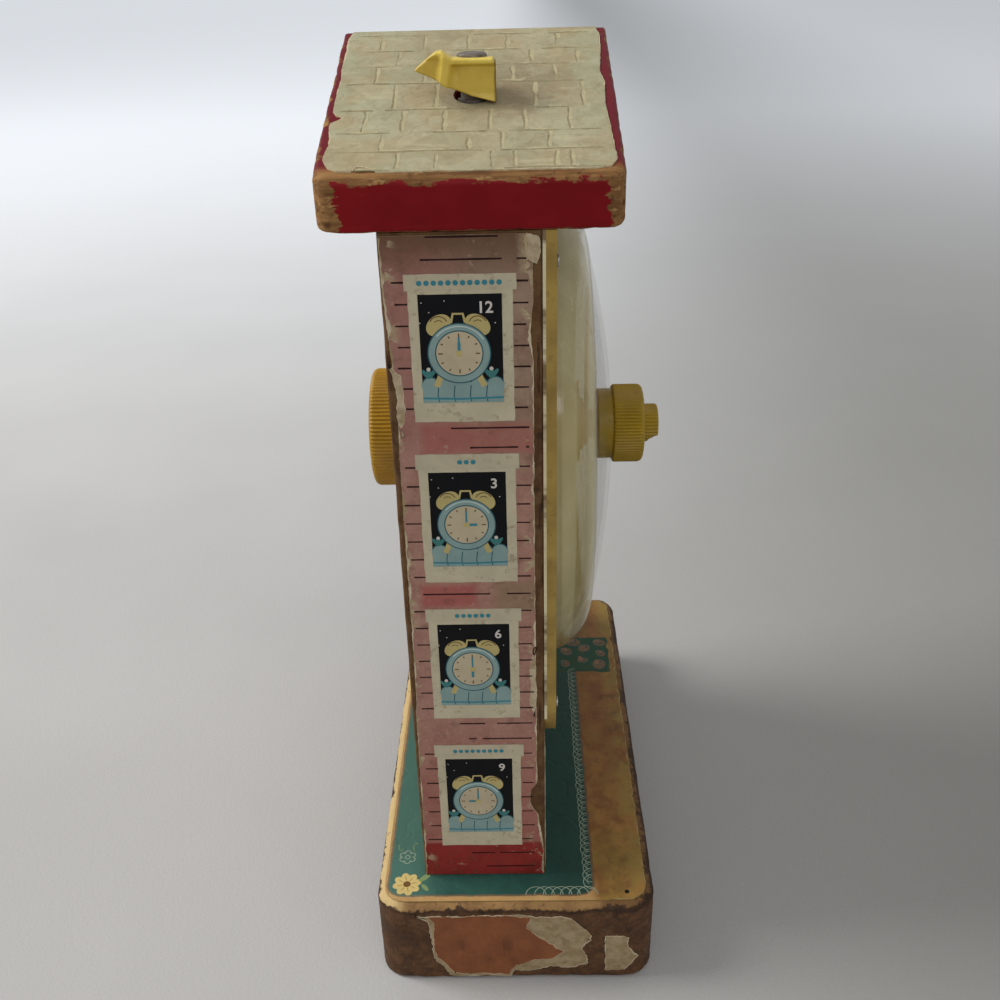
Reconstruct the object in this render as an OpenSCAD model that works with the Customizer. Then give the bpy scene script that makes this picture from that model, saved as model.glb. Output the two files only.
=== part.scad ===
// Toy teaching clock: a wooden case with a gabled roof, a domed dial whose
// hands are turned by a front knob, a wind-up musical movement and a bird on
// the roof. Millimetres. The origin is under the middle of the base, the dial
// faces -Y and +Z is up.

/* [Base] */
// Length of the base board
base_len = 173; // [160:1:200]
// Depth of the base board, front to back
base_dep = 87.4; // [80:0.2:110]
// Thickness of the base board
base_thk = 32; // [24:0.5:44]
// Radius of the base board's corners in plan
base_corner = 9; // [3:0.5:16]

/* [Case] */
// Width of the case over both side boards
case_w = 146.6; // [140:0.2:156]
// Depth of the side boards
case_dep = 38.5; // [36:0.5:46]
// How far the case stands behind the middle of the base
case_back = 9.75; // [0:0.25:16]
// Height of the side boards
board_h = 206; // [190:1:240]
// Thickness of the side boards
board_thk = 12.7; // [9:0.1:16]
// Width of the rebates that hold the front board and the rear panel
rebate = 6; // [3:0.5:8]
// Thickness of the front board
front_thk = 3; // [2.4:0.1:4]
// Thickness of the rear panel
rear_thk = 3; // [2:0.1:4]
// Thickness of the printed paper
paper_thk = 0.3; // [0.2:0.05:0.5]
// Bare margin round the paper on the wood
paper_margin = 2; // [0.5:0.25:5]

/* [Roof] */
// Pitch of each roof slab, in degrees
roof_pitch = 18; // [10:0.5:24]
// Depth of the roof, front to back
roof_dep = 71.6; // [60:0.2:84]
// How far the roof's middle lies behind the middle of the base
roof_back = 7.1; // [0:0.1:12]
// Upright thickness of a roof slab
roof_thk = 12.8; // [9:0.1:18]
// Radius of the roof's corners in plan
roof_corner = 4; // [1:0.25:8]

/* [Dial] */
// Height of the hands' axis above the table
axis_z = 156.4; // [154:0.2:162]
// Thickness of the printed dial card
card_thk = 0.8; // [0.5:0.1:1.2]
// Thickness of the dial frame
frame_thk = 2.6; // [2:0.1:4]
// Height of the dial frame's lower edge above the table
frame_z = 83; // [70:0.5:83]
// Radius of the dial frame's lower corners
frame_corner = 16; // [4:0.5:18]
// Outer radius of the clear dome
dome_r = 73; // [66:0.2:73]
// How far the dome stands out from the frame
dome_depth = 19.8; // [18:0.1:24]
// Wall of the clear dome
dome_wall = 1.2; // [0.8:0.1:1.5]
// Width of the dome's rim that lies on the frame
dome_rim = 2.6; // [1.6:0.1:4]

/* [Hands] */
// Length of the minute hand from the axis
minute_len = 46; // [30:0.5:48]
// Length of the hour hand from the axis
hour_len = 33; // [20:0.5:44]
// Thickness of each hand
hand_thk = 1; // [0.6:0.1:1.2]
// Radius of the minute hand's eye
minute_eye_r = 7; // [5:0.5:9]
// Radius of the hour hand's eye
hour_eye_r = 8.5; // [6:0.5:10]
// Half width of the minute hand's arrow
minute_arrow = 4.5; // [2:0.5:6]
// Half width of the hour hand's arrow
hour_arrow = 5.5; // [2:0.5:7]
// Diameter of the boss in the middle of the dial
boss_d = 24.8; // [16:0.2:30]
// How far the boss stands out from the dial card
boss_h = 12.4; // [12:0.1:13]
// Diameter of the steel arbor that carries the minute hand
arbor_d = 4; // [3:0.1:5]
// Outer diameter of the hour pipe
pipe_d = 8; // [7:0.1:10]
// Running clearance of shafts, on the radius
fit = 0.1; // [0.05:0.01:0.1]

/* [Knobs] */
// Diameter of the front knob
knob_d = 25.2; // [22:0.1:32]
// Length of the front knob's head
knob_len = 9.8; // [7:0.1:14]
// Diameter of the front knob's barrel inside the dome
barrel_neck_d = 22.6; // [18:0.2:25]
// Diameter of the ridged tip in front of the knob
tip_d = 12.3; // [9:0.1:16]
// Length of the ridged tip
tip_len = 5; // [3:0.1:8]
// Diameter of the winding knob
wind_d = 38; // [30:0.5:50]
// Length of the winding knob
wind_len = 12.7; // [9:0.1:18]
// Length of the rounded rim of both knobs
knob_rim = 1.6; // [1:0.1:2.4]
// Depth of the ridges on both knobs
ridge = 0.45; // [0.2:0.05:0.6]
// Diameter of the winding arbor
wind_arbor_d = 5; // [4:0.1:6]

/* [Motion work] */
// Module of the gear teeth
gear_m = 0.8; // [0.7:0.05:0.8]
// Face width of the motion work gears
gear_w = 2.4; // [1.8:0.1:2.4]
// Thickness of the motion plate
plate_thk = 1.5; // [1:0.1:2]
// Side of the square motion plate
plate_side = 48; // [46:1:60]

/* [Movement] */
// Diameter of the spring barrel
drum_d = 34; // [28:0.5:38]
// Height of the spring barrel
drum_h = 8.5; // [7:0.5:9]
// Diameter of the pinned music cylinder
cyl_d = 13; // [10:0.5:13]
// Length of the pinned music cylinder
cyl_len = 27; // [20:0.5:28]
// Number of teeth on the comb
comb_teeth = 18; // [12:1:22]
// Length of the fly's blades
fly_len = 8; // [5:0.5:9]
// Width of the fly over both blades
fly_w = 11.6; // [8:0.2:12]

/* [Bird] */
// Distance of the bird's post from the middle of the clock
bird_x = 36.7; // [24:0.1:56]
// How far the bird's post lies behind the middle of the base
bird_y = 6.8; // [0:0.1:14]
// Diameter of the bird's post
post_d = 6; // [4:0.1:7]
// Diameter of the post's round head
post_head_d = 7.5; // [6.5:0.1:10]
// Thickness of the bird
bird_thk = 6; // [4:0.1:8]

/* [Hidden] */
$fn = 64;

// Faces of the case, front to back
case_front = case_back - case_dep / 2;
case_rear = case_back + case_dep / 2;
card_y = case_front - card_thk;
frame_y = card_y - frame_thk;
front_in = case_front + front_thk;
rear_in = case_rear - rear_thk;
half_w = case_w / 2;
inner_w = half_w - board_thk;
panel_w = inner_w + rebate - 0.2;
board_top = base_thk + board_h;
slope = tan(roof_pitch);
ridge_under = board_top + half_w * slope;
gap = 0.3;

// Dial
window_r = dome_r - dome_rim;
boss_y = card_y - boss_h;
hour_hand_y = boss_y - gap;
minute_hand_y = hour_hand_y - hand_thk - 0.5;
hand_collar_y = minute_hand_y - hand_thk;
hand_collar_d = arbor_d + 5;
hand_root = 0.42;
hand_waist = 0.45;
arrow_from = 0.72;
neck_in = 4.4;
neck_y = frame_y - dome_depth + neck_in;
apex_y = frame_y - dome_depth;
dome_gap = 0.5;
head_y = apex_y - dome_gap;
knob_front = head_y - knob_len;
tip_front = knob_front - tip_len;
knob_hole_r = barrel_neck_d / 2 + dome_gap / 2;

// Motion work, from the front board towards the back
hour_wheel_y = front_in + 0.5;
cannon_y = hour_wheel_y + gear_w + 0.5;
plate_y = cannon_y + gear_w + 1;
cannon_teeth = 10;
reduction_teeth = 30;
small_teeth = 8;
hour_teeth = 32;
gear_centre = gear_m * (cannon_teeth + reduction_teeth) / 2;
stud_d = 3;
post_pitch = plate_side / 2 - 5;
spacer_d = 5;
rivet_d = 2.5;
rivet_head = 0.7;
clip_thk = 0.8;

// Movement, from the rear panel towards the front
bed_thk = 2;
bed_y = rear_in - bed_thk;
drum_back = bed_y - 0.6;
drum_front = drum_back - drum_h;
crown_h = 1.3;
crown_teeth = 36;
drum_in_d = drum_d - 2.4;
crown_mid_r = drum_d / 2 - 2;
cyl_teeth = 9;
cyl_pinion_r = crown_mid_r * cyl_teeth / crown_teeth;
crown_tooth = 0.9;
crown_face = 3.4;
cyl_addendum = 0.95;
cyl_y = drum_front - gap - cyl_addendum - cyl_pinion_r;
cyl_start = drum_d / 2 + 3;
axle_d = 2.2;
axle_end = cyl_start + cyl_len + 9;
bracket_thk = 1.6;
bracket_half = 4;
bracket_start = 0.5;
bracket_end = 2;
end_gear_x = cyl_start + cyl_len + 1.5;
end_gear_w = 2;
end_gear_m = 0.6;
end_gear_teeth = 40;
gov_teeth = 8;
gov_z = end_gear_m * (end_gear_teeth + gov_teeth) / 2;
comb_thk = 1;
comb_len = 18;
comb_tip_gap = 1.2;
comb_w = cyl_len - 1;
comb_root = 7;
comb_slot = 0.4;
comb_screw_d = 2;
comb_screw_head = 1.2;
comb_screw_len = 7;
pin_h = 0.7;
pin_d = 0.5;
pins_round = 4;

comb_top = axis_z - cyl_d / 2 - comb_tip_gap;
comb_foot = comb_top - comb_len;
comb_x0 = -cyl_start - cyl_len + 0.5;
comb_step = (cyl_len - 3) / comb_teeth;
bed_left = axle_end + 3;
bed_right = drum_d / 2 + 5;
bed_h = 58;
bed_screw_d = 3;
bed_screw_head = 1.5;
bed_screw_in = 5;
bed_screw_z = bed_h / 2 - bed_screw_in;
gov_d = 1.6;
fly_thk = 0.6;
fly_hub_d = 3.4;
fly_hub = 10;
fly_x = -cyl_start - 11;
spring_back = 1.4;
spring_front = 2;
spring_turns = 7;
spring_steps = 24;
spring_in = wind_arbor_d / 2 + 0.4;
spring_half = 0.2;
spring_out = drum_in_d / 2 - spring_half;

// Knobs
wind_y = case_rear + 1.6;
clip_y = plate_y + plate_thk + 0.4 + clip_thk;
arbor_back = clip_y + 1;
knob_ridges = 72;
tip_ridges = 30;
wind_ridges = 96;
tip_ridge = ridge - 0.1;

// Fasteners
boss_screw_d = 2.4;
boss_screw_len = 11;
nail_d = 1.6;
nail_len = 9;
nail_head = 3.2;
nail_head_h = 0.6;
nail_in = 3.2;
screw_shank = 4;
screw_head = 8;
screw_sink = 6;
screw_head_h = 2.4;
screw_bite = 20;
roof_screw_top = roof_thk + board_thk / 2 * slope - 2;

// Roof and dial edges; the reach is more than any part of the case, for cutting shapes
eave_x = half_w + 0.6;
card_z = frame_z + 12;
reach = 400;

// Bird
bush_d = 9;
bush_play = 0.1;
bird_front = 3.6;
bird_hub_h = 7.2;
post_rise = 10.1;
post_head_h = 1.2;
roof_top_at_bird = board_top + roof_thk + (half_w - bird_x) * slope;
post_top = roof_top_at_bird + post_rise;
post_bottom = roof_top_at_bird - roof_thk - 6;
bird_gap = 0.5;
bush_top = roof_top_at_bird - 1.7;
bush_bottom = roof_top_at_bird - roof_thk - 1.5;

// Places a child with its local z pointing out of the dial, from the plane y
module facing(y) {
  translate([0, y, axis_z]) rotate([90, 0, 0]) children();
}

// Places a child with its local z pointing along +X, from the plane x
module along_x(x, y, z) {
  translate([x, y, z]) rotate([0, 90, 0]) children();
}

// Flat outline with four round corners, centred on the origin
module rounded_rect(w, d, r) {
  union() {
    square([w - 2 * r, d], center = true);
    square([w, d - 2 * r], center = true);
    for (sx = [-1, 1], sy = [-1, 1]) translate([sx * (w / 2 - r), sy * (d / 2 - r)]) circle(r);
  }
}

// Tube from y to y - h on the hands' axis
module ring(y, h, d_out, d_in) {
  facing(y) difference() {
    cylinder(h = h, d = d_out);
    translate([0, 0, -1]) cylinder(h = h + 2, d = d_in);
  }
}

// Outline of a gear with a tooth centred on the angle phase
function gear_outline(teeth, m, phase) = [
  for (i = [0 : teeth - 1], k = [[-0.27, -1.15], [-0.09, 0.8], [0.09, 0.8], [0.27, -1.15]])
    let (a = phase + (i + k[0]) * 360 / teeth, r = m * (teeth / 2 + k[1])) [r * cos(a), r * sin(a)]
];

// Outline of a knob with fine ridges along it
function ridge_outline(r, count, depth) = [
  for (i = [0 : count - 1], k = [[0, 0], [0.3, 0], [0.5, 1], [0.8, 1]])
    let (a = (i + k[0]) * 360 / count, q = r - k[1] * depth) [q * cos(a), q * sin(a)]
];

// Outline of the case behind the roof, from the height z up to the gable
function gable_outline(w, z) = [
  [-w, z], [w, z], [w, board_top + (half_w - w) * slope], [0, ridge_under],
  [-w, board_top + (half_w - w) * slope]
];

// Half outline of the dome: a shallow front that turns down over a shoulder
function bezier(a, b, c, t) = (1 - t) * (1 - t) * a + 2 * t * (1 - t) * b + t * t * c;
function dome_front_z(r, depth, crown_r) = depth - crown_r + sqrt(crown_r * crown_r - r * r);
function dome_line(radius, depth) =
  let (crown_r = 2.95 * radius, turn_r = 0.764 * radius, turn_z = dome_front_z(turn_r, depth, crown_r))
  concat(
    [for (i = [0 : 10]) let (r = knob_hole_r + (turn_r - knob_hole_r) * i / 10)
      [r, dome_front_z(r, depth, crown_r)]],
    [for (i = [1 : 10]) bezier([turn_r, turn_z], [0.95 * radius, turn_z - 0.07 * depth], [radius, 0], i / 10)]
  );

// Wooden base with round corners, drilled for the screws that hold the boards
module base_board() {
  color("#8a5a34") difference() {
    linear_extrude(base_thk) rounded_rect(base_len, base_dep, base_corner);
    base_screw_places() {
      translate([0, 0, -1]) cylinder(h = base_thk + 2, d = screw_shank + 2 * fit);
      translate([0, 0, -1]) cylinder(h = screw_sink + 1, d = screw_head + 1);
    }
  }
}

// Printed paper on top of the base, open under the two side boards
module base_paper() {
  color("#2f7f74") difference() {
    translate([0, 0, base_thk]) linear_extrude(paper_thk)
      rounded_rect(base_len - 2 * paper_margin, base_dep - 2 * paper_margin, base_corner - paper_margin);
    for (s = [-1, 1]) translate([s * (half_w - board_thk / 2), case_back, base_thk + paper_thk / 2])
      cube([board_thk + 2 * gap, case_dep + 2 * gap, 2], center = true);
    for (y = [case_front + front_thk / 2, case_rear - rear_thk / 2]) translate([0, y, base_thk])
      cube([2 * inner_w + 2, max(front_thk, rear_thk) + 2 * gap, 2], center = true);
  }
}

// Upright board at one side, its top cut to the roof's pitch, with a rebate
// along each inner edge for the front board and the rear panel
module side_board(s) {
  difference() {
    translate([0, case_rear, 0]) rotate([90, 0, 0]) linear_extrude(case_dep) polygon([
      [s * half_w, base_thk], [s * inner_w, base_thk],
      [s * inner_w, board_top + board_thk * slope], [s * half_w, board_top]
    ]);
    translate([s * inner_w, case_front, board_h / 2 + base_thk])
      cube([2 * rebate, 2 * front_thk, board_h + 20], center = true);
    translate([s * inner_w, case_rear, board_h / 2 + base_thk])
      cube([2 * rebate, 2 * rear_thk, board_h + 20], center = true);
    base_screw_places() translate([0, 0, base_thk - 1]) cylinder(h = screw_bite + 1, d = screw_shank + 2 * fit);
    roof_screw_places() translate([0, 0, -screw_bite]) cylinder(h = screw_bite + 9, d = screw_shank + 2 * fit);
    panel_nail_places() rotate([90, 0, 0]) translate([0, 0, -1])
      cylinder(h = nail_len + 1, d = nail_d + 2 * fit);
    nail_places() rotate([-90, 0, 0]) translate([0, 0, -1]) cylinder(h = nail_len + 1, d = nail_d + 2 * fit);
  }
}
module left_side_board() { color("#9a6a3f") side_board(-1); }
module right_side_board() { color("#9a6a3f") side_board(1); }

// Printed paper on the outer face of a side board
module side_paper(s) {
  translate([s * (half_w + paper_thk / 2), case_back, (base_thk + board_top) / 2])
    cube([paper_thk, case_dep - 2 * paper_margin, board_h - 1], center = true);
}
module left_side_paper() { color("#c99a8f") side_paper(-1); }
module right_side_paper() { color("#c99a8f") side_paper(1); }

// One sloping half of the roof, cut plumb at the eave and at the ridge
module roof_slab(s) {
  difference() {
    intersection() {
      translate([0, roof_back + roof_dep / 2, 0]) rotate([90, 0, 0]) linear_extrude(roof_dep) polygon([
        [s * eave_x, board_top + (half_w - eave_x) * slope], [0, ridge_under], [0, ridge_under + roof_thk],
        [s * eave_x, board_top + (half_w - eave_x) * slope + roof_thk]
      ]);
      translate([0, roof_back, board_top - reach / 2]) linear_extrude(reach)
        rounded_rect(2 * eave_x, roof_dep, roof_corner);
    }
    roof_screw_places() {
      cylinder(h = roof_thk + 9, d = screw_shank + 2 * fit);
      translate([0, 0, roof_screw_top - screw_head_h]) cylinder(h = 20, d = screw_head + 2 * fit);
    }
    if (s < 0) translate([-bird_x, bird_y, board_top]) cylinder(h = reach, d = bush_d + bush_play);
  }
}
module left_roof_slab() { color("#a01c22") roof_slab(-1); }
module right_roof_slab() { color("#a01c22") roof_slab(1); }

// Printed paper over both slopes of the roof
module roof_paper() {
  paper_x = eave_x - paper_margin;
  color("#a7a890") difference() {
    intersection() {
      translate([0, roof_back + roof_dep / 2, roof_thk]) rotate([90, 0, 0]) linear_extrude(roof_dep) polygon([
        for (up = [0, 1], s = [1, 0, -1])
          let (x = (up == 0 ? s : -s) * paper_x) [x, ridge_under - abs(x) * slope + up * paper_thk]
      ]);
      translate([0, roof_back, board_top]) linear_extrude(60)
        rounded_rect(2 * paper_x, roof_dep - 2 * paper_margin, roof_corner);
    }
    translate([-bird_x, bird_y, board_top]) cylinder(h = 60, d = bush_d + 2 * gap);
  }
}

// Board between the side boards that carries the dial and the gears
module front_board() {
  color("#7a5433") difference() {
    translate([0, front_in, 0]) rotate([90, 0, 0]) linear_extrude(front_thk)
      polygon(gable_outline(panel_w, base_thk));
    facing(front_in + 1) cylinder(h = front_thk + 2, d = pipe_d + 1);
    boss_screw_places() translate([0, 0, -1]) cylinder(h = front_thk + 2, d = boss_screw_d + 2 * fit);
  }
}

// Printed paper on the front below the dial frame
module front_paper() {
  color("#c99a8f") translate([0, case_front - paper_thk / 2, (base_thk + frame_z) / 2 + 0.2])
    cube([2 * half_w - 2 * paper_margin, paper_thk, frame_z - base_thk - 1.6], center = true);
}

// Panel that closes the back, with a hole for the winding arbor
module rear_panel() {
  color("#6d4a2e") difference() {
    translate([0, case_rear, 0]) rotate([90, 0, 0]) linear_extrude(rear_thk)
      polygon(gable_outline(panel_w, base_thk));
    facing(case_rear + 1) cylinder(h = rear_thk + 2, d = wind_arbor_d + 2);
    panel_nail_places() rotate([90, 0, 0]) translate([0, 0, -1])
      cylinder(h = rear_thk + 2, d = nail_d + 2 * fit);
    movement_screw_places() translate([0, 0, -1]) cylinder(h = rear_thk + 2, d = bed_screw_d + 2 * fit);
  }
}

// Printed dial, a card that ends a little above the frame's lower edge
module dial_card() {
  color("#efe9d2") difference() {
    translate([0, case_front, 0]) rotate([90, 0, 0]) linear_extrude(card_thk)
      polygon(gable_outline(half_w, card_z));
    facing(case_front + 1) cylinder(h = card_thk + 2, d = pipe_d + 1);
    boss_screw_places() translate([0, 0, -1])
      cylinder(h = front_thk + card_thk + 2, d = boss_screw_d + 2 * fit);
    nail_places() rotate([-90, 0, 0]) translate([0, 0, -2]) cylinder(h = 6, d = nail_d + 2 * fit);
  }
}

// Moulded frame round the dial; its lower strip is thicker and lies on the case
module dial_frame() {
  color("#d9b51c") difference() {
    union() {
      translate([0, card_y, 0]) rotate([90, 0, 0]) linear_extrude(frame_thk) frame_outline(frame_z);
      translate([0, case_front, 0]) rotate([90, 0, 0]) linear_extrude(card_thk) intersection() {
        frame_outline(frame_z);
        translate([-half_w, 0]) square([2 * half_w, card_z - 0.2]);
      }
    }
    facing(card_y + card_thk + 1) cylinder(h = frame_thk + card_thk + 2, r = window_r);
    nail_places() rotate([-90, 0, 0]) translate([0, 0, -6]) cylinder(h = 8, d = nail_d + 2 * fit);
  }
}
module frame_outline(z) {
  intersection() {
    polygon(gable_outline(half_w, z));
    union() {
      translate([-half_w, z + frame_corner]) square([2 * half_w, reach]);
      translate([-half_w + frame_corner, z]) square([2 * (half_w - frame_corner), reach]);
      for (s = [-1, 1]) translate([s * (half_w - frame_corner), z + frame_corner]) circle(frame_corner);
    }
  }
}

// Clear dome whose spigot drops into the frame's window
module clear_dome() {
  color("#e8e2b0") facing(frame_y) rotate_extrude($fn = 128) polygon(concat(
    dome_line(dome_r, dome_depth),
    [[window_r - 0.1, 0], [window_r - 0.1, -frame_thk], [window_r - 0.1 - dome_wall, -frame_thk],
     [window_r - 0.1 - dome_wall, 0]],
    [for (i = [19 : -1 : 0]) dome_line(window_r - 0.1 - dome_wall, dome_depth - dome_wall)[i]]
  ));
}

// Boss in the middle of the dial, the bearing of the hour pipe
module centre_boss() {
  color("#d9b51c") difference() {
    ring(card_y, boss_h, boss_d, pipe_d + 2 * fit);
    boss_screw_places() translate([0, 0, -1]) cylinder(h = boss_screw_len + 1, d = boss_screw_d + 2 * fit);
  }
}

// Screws from inside the case into the boss
module boss_screw_places() {
  for (a = [45 : 90 : 315]) facing(front_in) rotate([0, 0, a]) translate([boss_d / 2 - 4, 0, 0]) children();
}
module boss_screws() {
  color("#b8b8b8") boss_screw_places() cylinder(h = boss_screw_len, d = boss_screw_d);
}

// Nails that hold the frame on the side boards
module nail_places() {
  for (s = [-1, 1], z = [frame_z + 16, board_top - 8])
    translate([s * (half_w - nail_in), case_front, z]) children();
}
module frame_nails() {
  color("#9a9a92") nail_places() rotate([-90, 0, 0]) {
    translate([0, 0, -card_thk - frame_thk]) cylinder(h = nail_len + card_thk + frame_thk - 0.5, d = nail_d);
    translate([0, 0, -card_thk - frame_thk - nail_head_h]) cylinder(h = nail_head_h, d = nail_head);
  }
}

// Nails through the rear panel into the rebates
module panel_nail_places() {
  for (s = [-1, 1], z = [base_thk + 14, (base_thk + board_top) / 2, board_top - 12])
    translate([s * (inner_w + rebate / 2 - 0.2), case_rear, z]) children();
}
module rear_panel_nails() {
  color("#8f8f88") panel_nail_places() rotate([90, 0, 0]) {
    cylinder(h = nail_len - 0.5, d = nail_d);
    translate([0, 0, -nail_head_h]) cylinder(h = nail_head_h, d = nail_head);
  }
}

// Screws up through the base into the side boards
module base_screw_places() {
  for (s = [-1, 1], t = [-1, 1])
    translate([s * (half_w - board_thk / 2), case_back + t * case_dep / 4, 0]) children();
}
module base_screws() {
  color("#8f8f88") base_screw_places() translate([0, 0, screw_sink]) {
    cylinder(h = base_thk - screw_sink + screw_bite - 1, d = screw_shank);
    translate([0, 0, -screw_head_h]) difference() {
      cylinder(h = screw_head_h, d = screw_head);
      cube([1.2, screw_head + 1, 1.6], center = true);
    }
  }
}

// Screws down through the roof into the side boards, under the paper
module roof_screw_places() {
  for (s = [-1, 1], t = [-1, 1])
    translate([s * (half_w - board_thk / 2), case_back + t * case_dep / 4, board_top]) children();
}
module roof_screws() {
  color("#8f8f88") roof_screw_places() {
    translate([0, 0, 1 - screw_bite]) cylinder(h = screw_bite + roof_screw_top - 2, d = screw_shank);
    translate([0, 0, roof_screw_top - screw_head_h]) cylinder(h = screw_head_h, d = screw_head);
  }
}

// Steel arbor that carries the knob, the minute hand and the cannon pinion
module minute_arbor() {
  color("#c9c9c9") difference() {
    facing(arbor_back) cylinder(h = arbor_back - tip_front - 1.5, d = arbor_d);
    ring(clip_y, clip_thk, arbor_d + 2, arbor_d - 1);
  }
}

// Flat hand along +Z with a round eye; the eye is bored to the size given
module hand(y, len, eye_r, bore_r, arrow) {
  translate([0, y, axis_z]) rotate([90, 0, 0]) linear_extrude(hand_thk) difference() {
    union() {
      circle(eye_r);
      polygon([
        [-eye_r * hand_root, 0], [eye_r * hand_root, 0], [arrow * hand_waist, len * arrow_from],
        [arrow, len * arrow_from], [0, len], [-arrow, len * arrow_from], [-arrow * hand_waist, len * arrow_from]
      ]);
    }
    circle(bore_r);
  }
}
module minute_hand() {
  color("#e0702a") union() {
    hand(minute_hand_y, minute_len, minute_eye_r, arbor_d / 2, minute_arrow);
    ring(hand_collar_y, abs(neck_y - hand_collar_y) - 0.2, hand_collar_d, arbor_d);
  }
}
module hour_hand() {
  color("#e0702a") translate([0, 0, axis_z]) rotate([0, 90, 0]) translate([0, 0, -axis_z])
    hand(hour_hand_y, hour_len, hour_eye_r, pipe_d / 2 - 1, hour_arrow);
}

// Half outline of a knob's rounded rim
function rim_outline(r) = [
  [0, 0], [r - 0.1, 0], [r - 0.2 * knob_rim, 0.55 * knob_rim], [r - 0.8 * knob_rim, knob_rim], [0, knob_rim]
];

// Front knob: a plain neck inside the dome and a ridged head outside
module front_knob() {
  color("#d9b51c") difference() {
    union() {
      facing(neck_y) cylinder(h = neck_y - head_y, d = barrel_neck_d);
      facing(head_y) linear_extrude(knob_len - knob_rim) polygon(ridge_outline(knob_d / 2, knob_ridges, ridge));
      facing(head_y - knob_len + knob_rim) rotate_extrude() polygon(rim_outline(knob_d / 2));
    }
    facing(neck_y + 1) cylinder(h = knob_len + 20, d = arbor_d);
  }
}

// Small ridged tip on the end of the arbor, one corner broken away
module knob_tip() {
  color("#cfa91a") difference() {
    facing(knob_front) linear_extrude(tip_len) polygon(ridge_outline(tip_d / 2, tip_ridges, tip_ridge));
    facing(knob_front + 1) cylinder(h = tip_len - 0.5, d = arbor_d);
    translate([0, tip_front, axis_z - tip_d / 2]) rotate([38, 0, 0])
      cube([tip_d + 2, 0.8 * tip_len, tip_len], center = true);
  }
}

// Pinion fixed on the minute arbor
module cannon_pinion() {
  color("#d8b45a") facing(cannon_y + gear_w) difference() {
    linear_extrude(gear_w) polygon(gear_outline(cannon_teeth, gear_m, -90));
    translate([0, 0, -1]) cylinder(h = gear_w + 2, d = arbor_d);
  }
}

// Ring that keeps the arbor from sliding out
module arbor_clip() {
  color("#b0b0b0") ring(clip_y, clip_thk, arbor_d + 4, arbor_d - 1);
}

// Wheel and small pinion in one piece, running on the stud
module reduction_wheel() {
  color("#d8b45a") translate([0, 0, -gear_centre]) difference() {
    union() {
      facing(cannon_y + gear_w) linear_extrude(gear_w)
        polygon(gear_outline(reduction_teeth, gear_m, 90 + 180 / reduction_teeth));
      facing(cannon_y + 0.01) linear_extrude(gear_w + 0.5)
        polygon(gear_outline(small_teeth, gear_m * (hour_teeth + small_teeth) / 40, 90 + 180 / small_teeth));
    }
    facing(cannon_y + gear_w + 1) cylinder(h = 3 * gear_w + 2, d = stud_d + 2 * fit);
  }
}

// Fixed stud that the reduction wheel turns on
module reduction_stud() {
  color("#c9c9c9") translate([0, 0, -gear_centre])
    facing(plate_y + plate_thk) cylinder(h = plate_y + plate_thk - front_in - 0.2, d = stud_d);
}

// Hour wheel with the pipe that carries the hour hand through the boss
module hour_wheel() {
  color("#d8b45a") difference() {
    union() {
      facing(hour_wheel_y + gear_w) linear_extrude(gear_w) polygon(gear_outline(hour_teeth, gear_m, -90));
      facing(hour_wheel_y + 0.01) cylinder(h = hour_wheel_y - boss_y + 0.2, d = pipe_d);
      facing(boss_y - 0.1) cylinder(h = gap + hand_thk, d = pipe_d - 2);
    }
    facing(hour_wheel_y + gear_w + 1) cylinder(h = 60, d = arbor_d + 2 * fit);
  }
}

// Plate behind the gears, the rear bearing of the arbor
module motion_plate() {
  color("#b9b9b4") difference() {
    translate([0, plate_y + plate_thk / 2, axis_z]) cube([plate_side, plate_thk, plate_side], center = true);
    facing(plate_y + plate_thk + 1) cylinder(h = plate_thk + 2, d = arbor_d + 2 * fit);
    translate([0, 0, -gear_centre]) facing(plate_y + plate_thk + 1) cylinder(h = plate_thk + 2, d = stud_d);
    post_places() translate([0, 0, -1 - plate_thk]) cylinder(h = plate_thk + 2, d = rivet_d);
  }
}

// Four posts that hold the plate off the front board, riveted over behind
module post_places() {
  for (sx = [-1, 1], sz = [-1, 1]) translate([sx * post_pitch, 0, sz * post_pitch]) facing(plate_y) children();
}
module plate_posts() {
  color("#c9c9c9") post_places() {
    cylinder(h = plate_y - front_in, d = spacer_d);
    translate([0, 0, -plate_thk]) cylinder(h = plate_thk + 0.01, d = rivet_d);
    translate([0, 0, -plate_thk - rivet_head]) cylinder(h = rivet_head, d = spacer_d - 1);
  }
}

// Winding knob behind the rear panel, pressed on the winding arbor
module winding_knob() {
  color("#d9b51c") difference() {
    union() {
      facing(wind_y + wind_len - knob_rim) linear_extrude(wind_len - knob_rim)
        polygon(ridge_outline(wind_d / 2, wind_ridges, ridge));
      facing(wind_y + wind_len - knob_rim) mirror([0, 0, 1]) rotate_extrude() polygon(rim_outline(wind_d / 2));
    }
    facing(wind_y + wind_len - 2) cylinder(h = wind_len, d = wind_arbor_d);
  }
}
module winding_arbor() {
  color("#c9c9c9") facing(wind_y + wind_len - 2.2)
    cylinder(h = wind_y + wind_len - 2.2 - drum_front - 1.6, d = wind_arbor_d);
}

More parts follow.
